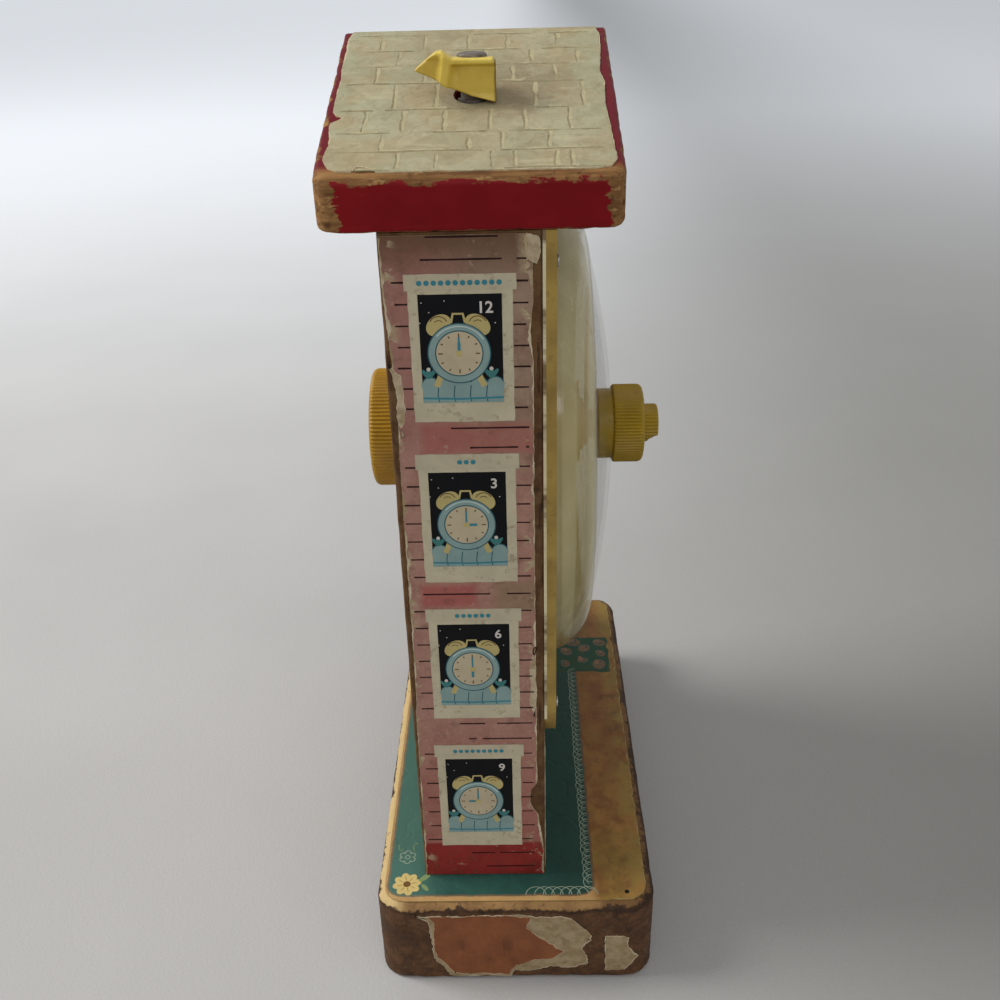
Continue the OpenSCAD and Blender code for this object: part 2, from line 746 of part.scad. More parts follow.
// Cast bedplate of the musical movement, screwed to the rear panel
module movement_bedplate() {
  color("#b9b9b4") difference() {
    translate([-bed_left, bed_y, axis_z - bed_h / 2]) cube([bed_left + bed_right, bed_thk, bed_h]);
    facing(bed_y + bed_thk + 1) cylinder(h = bed_thk + 2, d = wind_arbor_d + 2 * fit);
    movement_screw_places() translate([0, 0, rear_thk - 1]) cylinder(h = bed_thk + 2, d = bed_screw_d);
  }
}
module movement_screw_places() {
  for (x = [bed_screw_in - bed_left, bed_right - bed_screw_in], z = [-bed_screw_z, bed_screw_z])
    translate([x, 0, z]) facing(case_rear) children();
}
module movement_screws() {
  color("#8f8f88") movement_screw_places() {
    cylinder(h = rear_thk + bed_thk, d = bed_screw_d);
    translate([0, 0, -bed_screw_head]) difference() {
      cylinder(h = bed_screw_head, d = 2 * bed_screw_d);
      cube([0.9, 3 * bed_screw_d, bed_screw_head + 0.1], center = true);
    }
  }
}

// Spring barrel, an open drum with crown teeth on its front rim
module spring_barrel() {
  color("#c8a24a") union() {
    difference() {
      facing(drum_back) cylinder(h = drum_h, d = drum_d);
      facing(drum_back + 1) cylinder(h = drum_h - 0.5, d = drum_in_d);
      facing(drum_back + 1) cylinder(h = drum_h + 3, d = wind_arbor_d + 2 * fit);
    }
    for (i = [0 : crown_teeth - 1]) facing(drum_front + 0.01) rotate([0, 0, i * 360 / crown_teeth])
      translate([crown_mid_r, 0, 0]) linear_extrude(crown_h + 0.01)
        square([crown_face, crown_tooth], center = true);
  }
}

// Cover that closes the back of the barrel
module barrel_cover() {
  color("#c8a24a") ring(drum_back - 0.2, 0.8, drum_in_d, wind_arbor_d + 2 * fit);
}

// Spiral spring wound between the arbor and the barrel's wall
function spiral(i, half) =
  let (a = i * 360 / spring_steps, t = i / (spring_turns * spring_steps))
  let (r = spring_in + (spring_out - spring_in) * t + half)
  [r * cos(a), r * sin(a)];
module mainspring() {
  color("#77808a") facing(drum_back - spring_back) linear_extrude(drum_h - spring_back - spring_front) polygon(concat(
    [for (i = [0 : spring_turns * spring_steps]) spiral(i, spring_half)],
    [for (i = [spring_turns * spring_steps : -1 : 0]) spiral(i, -spring_half)]
  ));
}

// Music cylinder with its rows of pins
module music_cylinder() {
  color("#d2b15c") difference() {
    union() {
      along_x(-cyl_start - cyl_len, cyl_y, axis_z) cylinder(h = cyl_len, d = cyl_d);
      for (i = [0 : comb_teeth - 1], k = [0 : pins_round - 1])
        along_x(comb_tooth_x(i), cyl_y, axis_z) rotate([0, 0, pin_angle(i, k)])
          translate([cyl_d / 2 - 0.3, 0, 0]) rotate([0, 90, 0]) cylinder(h = pin_h + 0.3, d = pin_d, $fn = 8);
    }
    along_x(-cyl_start - cyl_len - 1, cyl_y, axis_z) cylinder(h = cyl_len + 2, d = axle_d);
  }
}
function pin_angle(i, k) = 360 * (i * 7 % comb_teeth) / comb_teeth + k * 360 / pins_round + 25;
function comb_tooth_x(i) = -cyl_start - 1.5 - (i + 0.5) * comb_step;

// Axle of the cylinder with the pinion that the barrel turns and the end gear
module cylinder_axle() {
  color("#c9c9c9") union() {
    along_x(-axle_end, cyl_y, axis_z) cylinder(h = axle_end - crown_mid_r + 3, d = axle_d);
    along_x(-crown_mid_r - 1.4, cyl_y, axis_z) linear_extrude(2.8) polygon([
      for (i = [0 : cyl_teeth - 1], k = [[-0.27, -1], [-0.1, cyl_addendum], [0.1, cyl_addendum], [0.27, -1]])
        let (a = 90 + (i + 0.5 + k[0]) * 360 / cyl_teeth, r = cyl_pinion_r + k[1]) [r * cos(a), r * sin(a)]
    ]);
    along_x(-end_gear_x - end_gear_w, cyl_y, axis_z) linear_extrude(end_gear_w)
      polygon(gear_outline(end_gear_teeth, end_gear_m, 180));
  }
}

// Two uprights of the bedplate that carry the cylinder's axle
module cylinder_brackets() {
  color("#b9b9b4") for (x = [-axle_end + bracket_end, -cyl_start + bracket_start]) difference() {
    translate([x, cyl_y - bracket_half, axis_z - bracket_half])
      cube([bracket_thk, bed_y - cyl_y + bracket_half, 2 * bracket_half]);
    along_x(x - 1, cyl_y, axis_z) cylinder(h = bracket_thk + 2, d = axle_d + 2 * fit);
  }
}

// Steel comb, its teeth reaching under the cylinder's pins
module music_comb() {
  color("#8c9298") difference() {
    translate([comb_x0, cyl_y - comb_thk / 2, comb_foot]) cube([comb_w, comb_thk, comb_len]);
    for (i = [0 : comb_teeth])
      translate([comb_tooth_x(i - 0.5) - comb_slot / 2, cyl_y - comb_thk, comb_foot + comb_root])
        cube([comb_slot, 2 * comb_thk, comb_len]);
    comb_screw_places() translate([0, 0, -comb_thk - 1]) cylinder(h = comb_thk + 2, d = comb_screw_d + 2 * fit);
  }
}
module comb_screw_places() {
  for (t = [0.2, 0.8]) translate([comb_x0 + t * comb_w, 0, comb_foot + comb_root / 2 - axis_z])
    facing(cyl_y + comb_thk / 2) children();
}
module comb_block() {
  color("#b9b9b4") difference() {
    translate([comb_x0, cyl_y + comb_thk / 2, comb_foot])
      cube([comb_w, bed_y - cyl_y - comb_thk / 2, comb_root]);
    comb_screw_places() translate([0, 0, -comb_screw_len - 1])
      cylinder(h = comb_screw_len + 2, d = comb_screw_d + 2 * fit);
  }
}
module comb_screws() {
  color("#8f8f88") comb_screw_places() {
    translate([0, 0, -comb_screw_len]) cylinder(h = comb_screw_len + comb_thk, d = comb_screw_d);
    translate([0, 0, comb_thk]) cylinder(h = comb_screw_head, d = 2 * comb_screw_d);
  }
}

// Governor above the cylinder: an arbor with a pinion and a two-blade fly
module governor_arbor() {
  color("#c9c9c9") translate([0, 0, gov_z]) union() {
    along_x(-axle_end, cyl_y, axis_z) cylinder(h = axle_end - cyl_start + 3, d = gov_d);
    along_x(-end_gear_x - end_gear_w, cyl_y, axis_z) linear_extrude(end_gear_w)
      polygon(gear_outline(gov_teeth, end_gear_m, 180 / gov_teeth));
  }
}
module governor_fly() {
  color("#d2b15c") translate([fly_x, cyl_y, axis_z + gov_z]) difference() {
    union() {
      along_x(-fly_hub / 2, 0, 0) cylinder(h = fly_hub, d = fly_hub_d);
      cube([fly_len, fly_thk, fly_w], center = true);
    }
    along_x(-fly_hub / 2 - 1, 0, 0) cylinder(h = fly_hub + 2, d = gov_d);
  }
}
module governor_bracket() {
  color("#b9b9b4") for (x = [-axle_end + 2, -cyl_start + 0.5]) difference() {
    translate([x, cyl_y - 3, axis_z + 4]) cube([bracket_thk, bed_y - cyl_y + 3, gov_z]);
    along_x(x - 1, cyl_y, axis_z + gov_z) cylinder(h = bracket_thk + 2, d = gov_d + 2 * fit);
  }
}

// Bird in profile on the near side of its post, with the beak to the rear. Its
// underside follows the roof with a gap
module bird() {
  color("#e3c22a") difference() {
    union() {
      translate([-bird_x - bird_front, bird_y, roof_top_at_bird]) rotate([90, 0, 90])
        linear_extrude(bird_thk, center = true) polygon(bird_outline());
      translate([-bird_x, bird_y, roof_top_at_bird + 1.6]) cylinder(h = bird_hub_h, d = post_d + 2.4);
    }
    translate([0, bird_y + 30, 0]) rotate([90, 0, 0]) linear_extrude(60) polygon([
      for (t = [[-20, 0], [20, 0], [20, -20], [-20, -20]])
        [t[0] - bird_x, roof_top_at_bird + paper_thk + bird_gap + t[0] * slope + t[1]]
    ]);
    translate([-bird_x, bird_y, roof_top_at_bird - 5]) cylinder(h = 30, d = post_d);
    translate([-bird_x, bird_y, post_top - post_head_h - 0.05]) cylinder(h = 5, d = post_head_d + 0.4);
  }
}
// Outline of the bird as seen from the left side: across is towards the rear
function bird_outline() = [
  [-5.9, -1.3], [-5.9, 8.3], [-5.2, 9.1], [4.6, 9.2], [5.8, 9.9], [7.2, 10.9], [8.6, 10.7],
  [11, 9], [13.4, 7.2], [13.8, 6.5], [13.2, 6.2], [10.6, 5.2], [8.3, 4.1], [6.8, 2.8], [3.4, 1.3], [0, -0.1]
];

// Steel post of the bird with a round head and a collar that stands on the bushing
module bird_post() {
  color("#4a4a4c") union() {
    translate([-bird_x, bird_y, bush_top + 0.1]) cylinder(h = 1, d = post_d + 1.6);
    translate([-bird_x, bird_y, post_bottom]) cylinder(h = post_top - post_head_h - post_bottom, d = post_d);
    translate([-bird_x, bird_y, post_top - post_head_h])
      cylinder(h = post_head_h, d1 = post_head_d, d2 = post_head_d - 2);
  }
}

// Bushing that lines the hole in the roof
module bird_bushing() {
  color("#3a3a3a") difference() {
    translate([-bird_x, bird_y, bush_bottom]) cylinder(h = bush_top - bush_bottom, d = bush_d);
    translate([-bird_x, bird_y, bush_bottom - 1]) cylinder(h = roof_thk + 20, d = post_d + 2 * fit);
  }
}

// Ring under the roof that keeps the post in its hole
module post_clip() {
  color("#b0b0b0") translate([-bird_x, bird_y, roof_top_at_bird - roof_thk - 2.6]) difference() {
    cylinder(h = 1, d = post_d + 4);
    translate([0, 0, -1]) cylinder(h = 3, d = post_d);
  }
}

base_board();
base_paper();
left_side_board();
right_side_board();
left_side_paper();
right_side_paper();
left_roof_slab();
right_roof_slab();
roof_paper();
front_board();
front_paper();
rear_panel();
dial_card();
dial_frame();
clear_dome();
centre_boss();
boss_screws();
frame_nails();
rear_panel_nails();
base_screws();
roof_screws();
minute_arbor();
minute_hand();
front_knob();
knob_tip();
cannon_pinion();
arbor_clip();
reduction_wheel();
reduction_stud();
hour_wheel();
hour_hand();
motion_plate();
plate_posts();
winding_knob();
winding_arbor();
movement_bedplate();
movement_screws();
spring_barrel();
barrel_cover();
mainspring();
music_cylinder();
cylinder_axle();
cylinder_brackets();
music_comb();
comb_block();
comb_screws();
governor_arbor();
governor_fly();
governor_bracket();
bird();
bird_post();
bird_bushing();
post_clip();
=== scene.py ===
"""Looks of a toy teaching clock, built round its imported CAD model.

The frame is the CAD's: the dial faces -Y, +Z is up and the origin is under the
middle of the base. Shapes are worked out in millimetres and stored in metres.
The camera stands at the clock's left side, looking along +X and down.
"""

import math

import bmesh
import bpy
import numpy as np
from mathutils import Matrix, Vector, noise
from mathutils.geometry import tessellate_polygon


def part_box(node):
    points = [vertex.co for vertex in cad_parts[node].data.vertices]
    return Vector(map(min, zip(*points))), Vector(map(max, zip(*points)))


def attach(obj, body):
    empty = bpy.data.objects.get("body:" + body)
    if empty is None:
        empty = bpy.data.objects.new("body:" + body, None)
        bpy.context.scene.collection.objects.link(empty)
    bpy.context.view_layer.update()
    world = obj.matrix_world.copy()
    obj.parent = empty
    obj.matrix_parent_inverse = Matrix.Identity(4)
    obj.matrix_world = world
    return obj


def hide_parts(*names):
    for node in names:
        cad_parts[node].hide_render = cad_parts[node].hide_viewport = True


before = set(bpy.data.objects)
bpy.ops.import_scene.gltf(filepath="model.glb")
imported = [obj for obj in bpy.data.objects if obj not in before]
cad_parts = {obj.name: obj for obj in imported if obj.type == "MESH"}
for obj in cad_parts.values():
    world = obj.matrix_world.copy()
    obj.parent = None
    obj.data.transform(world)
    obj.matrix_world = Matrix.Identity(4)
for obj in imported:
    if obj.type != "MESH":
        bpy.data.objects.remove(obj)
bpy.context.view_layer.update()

MM = 0.001


def span(node):
    """Lowest and highest corner of a CAD node, in millimetres."""
    return [np.array(corner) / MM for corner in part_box(node)]


# Sizes taken from the frame
BASE_LO, BASE_HI = span("base_board")
BOARD_LO, BOARD_HI = span("left_side_board")
SLAB_LO, SLAB_HI = span("left_roof_slab")
FRAME_FRONT = span("dial_frame")[0][1]
CARD_LO, CARD_HI = span("dial_card")
DOME_LO, DOME_HI = span("clear_dome")
KNOB_LO, KNOB_HI = span("front_knob")
TIP_LO, TIP_HI = span("knob_tip")
WIND_LO, WIND_HI = span("winding_knob")
POST_LO, POST_HI = span("bird_post")
FRONT_LO, FRONT_HI = span("front_paper")

# Case and base
BASE_CORNER = 9
HALF_W = -BOARD_LO[0]
BOARD_THK = BOARD_HI[0] - BOARD_LO[0]
REBATE_W = 6
REBATE_D = 3
SLOPE = math.tan(math.radians(18))
BOARD_TOP = BOARD_HI[2] - BOARD_THK * SLOPE
PAPER = 0.3
BASE_TOP = BASE_HI[2]
NEAR_END = BASE_LO[0]
# How far the green field of the base print reaches
FIELD = (NEAR_END + 4.2, -25, -NEAR_END - 4.2, 40.6)
FIELD_CORNER = 5

# Roof
ROOF_CORNER = 4
EAVE_X = -SLAB_LO[0]
RIDGE_Z = SLAB_HI[2]
ROOF_THK = RIDGE_Z - BOARD_TOP - HALF_W * SLOPE

# Bird and its post
POST_X, POST_Y = (POST_LO[:2] + POST_HI[:2]) / 2
BUSH_D = 9.1
BIRD_MID_X = POST_X - 3.6
BIRD_THK = 6.0
BIRD_ROUND = 0.5
# Clearance between the bird and the roof
BIRD_GAP = 0.8

# Hands' axis, dome and its hole for the knob
AXIS_Z = (KNOB_LO[2] + KNOB_HI[2]) / 2
ARBOR_D = 4
DOME_R = (DOME_HI[2] - DOME_LO[2]) / 2
DOME_DEPTH = 19.8
DOME_WALL = 1.2
SEAT_R = DOME_R - 2.7
KNOB_HOLE = 11.55
# Where the wall of the dome turns into its front
DOME_SHOULDER = FRAME_FRONT - 11.3


def roof_z(x):
    """Height of the roof's upper face at x."""
    return RIDGE_Z - np.abs(x) * SLOPE


# Shader building

def tint(code):
    """Linear colour of a hex code."""
    values = [int(code[i:i + 2], 16) / 255 for i in (0, 2, 4)]
    return tuple(v / 12.92 if v <= 0.04045 else ((v + 0.055) / 1.055) ** 2.4 for v in values)


class Signal:
    """A node's output, so that shader maths reads as Python."""

    def __init__(self, finish, socket):
        self.finish, self.socket = finish, socket

    def maths(self, operation, *values):
        return self.finish.add("Math", {"operation": operation}, dict(enumerate(values)))

    def __add__(self, other):
        return self.maths("ADD", self, other)

    def __radd__(self, other):
        return self.maths("ADD", other, self)

    def __sub__(self, other):
        return self.maths("SUBTRACT", self, other)

    def __rsub__(self, other):
        return self.maths("SUBTRACT", other, self)

    def __mul__(self, other):
        return self.maths("MULTIPLY", self, other)

    def __rmul__(self, other):
        return self.maths("MULTIPLY", other, self)

    def __abs__(self):
        return self.maths("ABSOLUTE", self)

    def root(self):
        return self.maths("SQRT", self)

    def least(self, other):
        return self.maths("MINIMUM", self, other)

    def most(self, other):
        return self.maths("MAXIMUM", self, other)

    def above(self, edge, soft=0.1):
        """A soft step: 0 below the edge and 1 above it."""
        sockets = {"Value": self, "From Min": edge - soft, "From Max": edge + soft}
        return self.finish.add("MapRange", {"interpolation_type": "SMOOTHSTEP"}, sockets)

    def below(self, edge, soft=0.1):
        return 1 - self.above(edge, soft)


class Finish:
    """A material under construction, with its place in millimetres and its colour so far."""

    def __init__(self, name):
        self.material = bpy.data.materials.new(name)
        self.material.use_nodes = True
        self.tree = self.material.node_tree
        self.tree.nodes.clear()
        place = self.add("TexCoord", output="Object")
        self.place = self.add("VectorMath", {"operation": "SCALE"}, {"Vector": place, "Scale": 1 / MM})
        self.x, self.y, self.z = (self.add("SeparateXYZ", (), {"Vector": self.place}, i) for i in range(3))

    def add(self, kind, settings=(), sockets=(), output=0):
        """Adds a node, makes its settings, then fills or links its sockets."""
        node = self.tree.nodes.new("ShaderNode" + kind)
        for name, setting in dict(settings).items():
            setattr(node, name, setting)
        for name, given in dict(sockets).items():
            if isinstance(given, Signal):
                self.tree.links.new(given.socket, node.inputs[name])
            elif isinstance(given, tuple) and node.inputs[name].type == "RGBA":
                node.inputs[name].default_value = (*given, 1)
            else:
                node.inputs[name].default_value = given
        return Signal(self, node.outputs[output]) if node.outputs else None

    def attribute(self, name):
        return self.add("Attribute", {"attribute_name": name}, (), "Fac")

    def stretched(self, x, y, z):
        """The place in millimetres with each axis scaled by itself."""
        return self.add("VectorMath", {"operation": "MULTIPLY"}, {0: self.place, 1: (x, y, z)})

    def clouds(self, length, detail=3, rough=0.55, seed=0, vector=None):
        """Noise from 0 to 1 with hills about length mm apart."""
        sockets = {"Vector": vector or self.place, "W": seed * 3.7, "Scale": 1 / length,
                   "Detail": detail, "Roughness": rough}
        return self.add("TexNoise", {"noise_dimensions": "4D"}, sockets)

    def flecks(self, length, seed=0):
        """Distance to scattered points, for pits and specks."""
        sockets = {"Vector": self.place, "W": seed * 2.3, "Scale": 1 / length}
        return self.add("TexVoronoi", {"voronoi_dimensions": "4D"}, sockets, "Distance")

    def blend(self, mask, first, second):
        """A colour that goes from first to second, hex codes or colours, as mask goes from 0 to 1."""
        first, second = (tint(given) if isinstance(given, str) else given for given in (first, second))
        return self.add("Mix", {"data_type": "RGBA"}, {0: mask, 6: first, 7: second}, 2)

    def coat(self, mask, over):
        """Lays a colour over the finish as far as mask says."""
        self.colour = self.blend(mask, self.colour, over)

    def inside(self, left, bottom, right, top, soft):
        """1 inside a box on an upright face along Y."""
        width = (self.y - left).least(right - self.y)
        height = (self.z - bottom).least(top - self.z)
        return width.least(height).above(0, soft)

    def rounded(self, box, corner):
        """How far a place lies inside a box with round corners seen from above, in millimetres."""
        left, bottom, right, top = box
        over = [(abs(value - (low + high) / 2) - ((high - low) / 2 - corner)).most(0)
                for value, low, high in ((self.x, left, right), (self.y, bottom, top))]
        return corner - (over[0] * over[0] + over[1] * over[1]).root()

    def shade(self, rough, height=None, depth=0.0, shine=0.25, **sockets):
        """Closes the material with a Principled shader; height makes a bump of depth millimetres."""
        given = {"Base Color": self.colour, "Roughness": rough, "Specular IOR Level": shine}
        given.update({name.replace("_", " "): value for name, value in sockets.items()})
        if height is not None:
            sockets = {"Strength": 1.0, "Distance": depth * MM, "Height": height}
            given["Normal"] = self.add("Bump", (), sockets)
        self.add("OutputMaterial", (), {"Surface": self.add("BsdfPrincipled", (), given)})
        return self.material


# Finishes

def bare_wood(f, along, light, dark, seed):
    """Old unpainted wood with its grain along one axis. Gives the height of the grain."""
    threads = f.stretched(*(0.06 if axis == along else 1.0 for axis in "xyz"))
    lines = f.clouds(3.2, 4, 0.6, seed, threads) * 0.65 + f.clouds(0.8, 3, 0.7, seed + 1, threads) * 0.35
    f.colour = f.blend(lines.above(0.5, 0.16), dark, light)
    f.coat(f.clouds(9, 4, 0.6, seed + 5).above(0.56, 0.12) * 0.5, dark)
    return lines


def board_wood(name, light, dark, seed):
    """Wood of the side boards, darker where hands have worn the edges."""
    f = Finish(name)
    lines = bare_wood(f, "z", light, dark, seed)
    f.coat(f.attribute("rim") * f.clouds(5, 4, 0.6, seed + 8).above(0.5, 0.1) * 0.6, "6e5232")
    dents = f.flecks(6, seed).below(0.16, 0.08)
    f.coat(dents * 0.6, "2c1a0e")
    cracks = f.clouds(1.4, 4, 0.65, seed + 11, f.stretched(1, 1, 0.08)).above(0.64, 0.02)
    f.coat(cracks * 0.7, "2c1a0e")
    height = lines + f.clouds(0.4, 2, 0.5, seed) * 0.4 - dents - cracks * 0.5
    return f.shade(0.62 + 0.2 * lines, height, 0.4, 0.3)


def roof_wood():
    """Red paint over wood, rubbed off in streaks along the ends and edges of the roof."""
    f = Finish("roof_wood")
    lines = bare_wood(f, "y", "9c7549", "5d3c22", 2)
    patches = f.clouds(6, 5, 0.62, 4) - 0.5
    streaks = f.clouds(1.5, 4, 0.65, 9, f.stretched(1, 0.16, 1)) - 0.5
    ragged = patches * 9 + streaks * 9
    end = abs(f.y - (SLAB_LO[1] + SLAB_HI[1]) / 2 + 0.6) - ((SLAB_HI[1] - SLAB_LO[1]) / 2 - 4.4)
    from_top = (f.attribute("height") - 1) * ROOF_THK + 1.2
    from_foot = 0.5 - f.attribute("height") * ROOF_THK
    near = (abs(f.x) - (EAVE_X - 4)).above(0, 2)
    rubbed = (end + ragged * 0.75).most(from_top + ragged * 0.5).most(from_foot + ragged * 0.16)
    side_rub = (1 - near) * (f.attribute("rim") * 0.5 + patches * 1.2).above(0.52, 0.05)
    bare = (near * rubbed.above(0, 0.25)).most(side_rub)
    paint = f.blend(f.clouds(14, 3, 0.5, 6).above(0.5, 0.3), "6c080e", "7e0d14")
    paint = f.blend((1 - near) * 0.6, paint, "5a1822")
    scuffs = f.clouds(1.1, 4, 0.6, 7, f.stretched(1, 0.25, 1)).above(0.7, 0.03)
    f.colour = f.blend(bare, f.blend(scuffs * 0.3, paint, "8f3034"), f.colour)
    f.coat(f.clouds(2.2, 4, 0.6, 12).above(0.6, 0.05) * bare * 0.6, "3d2414")
    f.coat(f.clouds(1.8, 4, 0.65, 14, f.stretched(1, 0.3, 1)).above(0.62, 0.04) * bare * 0.55, "b8955f")
    return f.shade(0.42 + 0.4 * bare + 0.1 * patches, lines * (0.15 + bare * 0.85) - bare * 0.5, 0.55, 0.12)


def base_wood():
    """Dark end grain below, with the print's ochre edge rolled over the top rim, painted light and shade on
    that edge and a painted shadow under it.
    """
    f = Finish("base_wood")
    lines = bare_wood(f, "x", "654429", "3d2716", 3)
    f.coat(f.flecks(1.3, 3).below(0.2, 0.1) * 0.2, "24160c")
    f.coat(f.clouds(4, 5, 0.65, 14).above(0.6, 0.05) * 0.3, "7d6246")
    fine = f.clouds(1.6, 4, 0.6, 9) - 0.5
    ragged = f.z + (f.clouds(7, 4, 0.6, 8) - 0.5) * 4.4 + fine * 2.6
    trim = (ragged - 0.9 * f.y.below(-27, 4)).above(BASE_TOP - 1.5, 0.3)
    # A dark band under the rolled ochre edge: painted shadow.
    f.coat(ragged.above(BASE_TOP - 2.7, 0.6) * 0.6, "22150b")
    right = f.y.below(-27, 2)
    ochre = f.blend(f.clouds(5, 4, 0.6, 10).above(0.5, 0.2), "7c5a36", "947245")
    ochre = f.blend(f.clouds(2.2, 5, 0.7, 15).above(0.58, 0.05) * 0.5, ochre, "5f4427")
    # Lighter ochre towards the rear: painted light on the side that faces the lamp.
    ochre = f.blend(f.y.above(36, 3) * 0.7, ochre, "d8bd84")
    # Darker ochre towards the front: painted shade.
    ochre = f.blend(right * 0.8, ochre, "654626")
    bald = (f.clouds(2.4, 4, 0.65, 11) + right * 0.08).above(0.66, 0.03)
    f.coat(trim * (1 - bald), ochre)
    return f.shade(0.66 + 0.2 * fine, lines * 0.8 + fine * 0.6 + trim * 0.4, 0.4)


def torn(f, seed, width=0.5):
    """1 on a sheet's torn edge, where the paper's core shows."""
    return (f.attribute("inner") + (f.clouds(1.4, 3, 0.6, seed) - 0.5) * 0.9).below(width, 0.12)


def creases(f, seed):
    """Height of a print that has bubbled and wrinkled on its wood."""
    folds = abs(f.clouds(15, 3, 0.5, seed) - 0.5).below(0.018, 0.014)
    return f.clouds(6, 3, 0.5, seed + 2) * 0.7 - folds * 0.25 + f.clouds(0.5, 2, 0.5, seed) * 0.12


def side_print(name, seed, rims=True):
    """Pink brick print of the case, darker above, red at its foot and bare in places at its rims."""
    f = Finish(name)
    mottled = f.clouds(7, 4, 0.6, seed)
    fine = f.clouds(1.1, 4, 0.7, seed + 9)
    f.colour = f.blend(mottled.above(0.5, 0.22), "91675a", "a37a6c")
    f.coat(fine.above(0.56, 0.1) * 0.3, "b08f7c")
    upper = f.z.above(180, 14) * f.y.below(14, 10)
    f.coat(upper * 0.7, f.blend(mottled.above(0.5, 0.2), "7c6450", "91806a"))
    f.coat(f.inside(3, 183, 30, 240, 9) * (1 - upper) * 0.5, "895853")
    bands = (f.inside(-7, 181.6, 21, 190, 1.5) * 0.7).most(f.inside(9, 135, 24, 142, 1.4))
    f.coat(bands * 0.75, "9b4a46")
    f.coat(f.inside(-9, 133, 4, 143, 2) * 0.6, "7b6a4c")
    red = f.z.below(46.5, 0.8).most(f.z.below(80, 26) * 0.4)
    f.coat(red, f.blend(mottled.above(0.55, 0.2), "8a2a26", "732019"))
    # Darker towards the top edge.
    f.coat((f.z + mottled * 18).above(240, 8) * 0.85, "573b26")
    f.coat(f.clouds(4, 5, 0.65, seed + 3).above(0.6, 0.07) * 0.35, "56402c")
    scratch = f.clouds(1.1, 3, 0.6, seed + 4, f.stretched(1, 1, 0.3)).above(0.73, 0.015)
    pale = f.clouds(2.2, 4, 0.7, seed + 5).above(0.64, 0.03) * 0.45
    f.coat(scratch.most(pale) * 0.6, "bba98e")
    near_rim = f.y.below(-4.5, 1.6).most(f.y.above(25.6, 1.8)) if rims else 0.0
    peeling = f.clouds(5, 4, 0.6, seed + 12) + f.z.above(225, 6) * f.y.below(0, 1) * 0.12
    core = near_rim * peeling.above(0.6, 0.03)
    f.coat(core * 0.85, f.blend(fine.above(0.5, 0.15), "b5a486", "94805f"))
    edge = torn(f, seed + 6)
    f.coat(edge, f.blend(mottled.above(0.5, 0.1), "c0b296", "93805f"))
    return f.shade(0.56 + 0.15 * mottled, creases(f, seed) - (edge + core) * 0.4, 0.22)


def roof_print():
    """Grey-green stone print, rubbed and stained round the bird."""
    f = Finish("roof_print")
    mottled = f.clouds(8, 4, 0.6, 21)
    fine = f.clouds(2.2, 5, 0.68, 27)
    patch = f.add("TexVoronoi", {"voronoi_dimensions": "2D", "distance": "MANHATTAN"},
                  {"Vector": f.place, "Scale": 1 / 13, "Randomness": 0.7}, "Color")
    tone = f.add("SeparateXYZ", (), {"Vector": patch}, 0)
    f.colour = f.blend(tone.above(0.5, 0.4), "a09575", "aea587")
    f.coat((abs(f.y - 2) - 20).above(0, 12) * 0.4, "9aa083")
    f.coat(mottled.above(0.55, 0.15) * 0.35, "9b9c7f")
    f.coat(f.clouds(6, 5, 0.66, 29).above(0.56, 0.07) * 0.3, "7d6c4e")
    f.coat(f.clouds(13, 3, 0.5, 22).above(0.54, 0.12) * 0.5, "a48d66")
    f.coat(fine.above(0.55, 0.08) * 0.3, "887a58")
    f.coat(f.clouds(3.5, 4, 0.65, 28, f.stretched(1, 0.35, 1)).above(0.6, 0.05) * 0.3, "c4ba95")
    across = (f.x - POST_X - 4) * 0.8
    down = f.y - (POST_Y - 6)
    ring = (across * across + down * down * 0.4).root()
    grime = (ring + f.clouds(3, 4, 0.6, 23) * 9).below(16, 7)
    f.coat(grime * (0.4 + f.flecks(0.9, 6).below(0.32, 0.1) * 0.35), "6b5c44")
    f.coat(f.flecks(2.2, 5).below(0.09, 0.03) * 0.4, "5c5a45")
    f.coat(f.clouds(1.7, 4, 0.7, 24).above(0.66, 0.04) * 0.4, "c9bf9a")
    edge = torn(f, 25, 0.3) * f.clouds(7, 3, 0.6, 30).above(0.46, 0.08)
    f.coat(edge, "beae8b")
    return f.shade(0.5 + 0.2 * mottled, creases(f, 26) - edge * 0.5 + fine * 0.3, 0.25, 0.3)


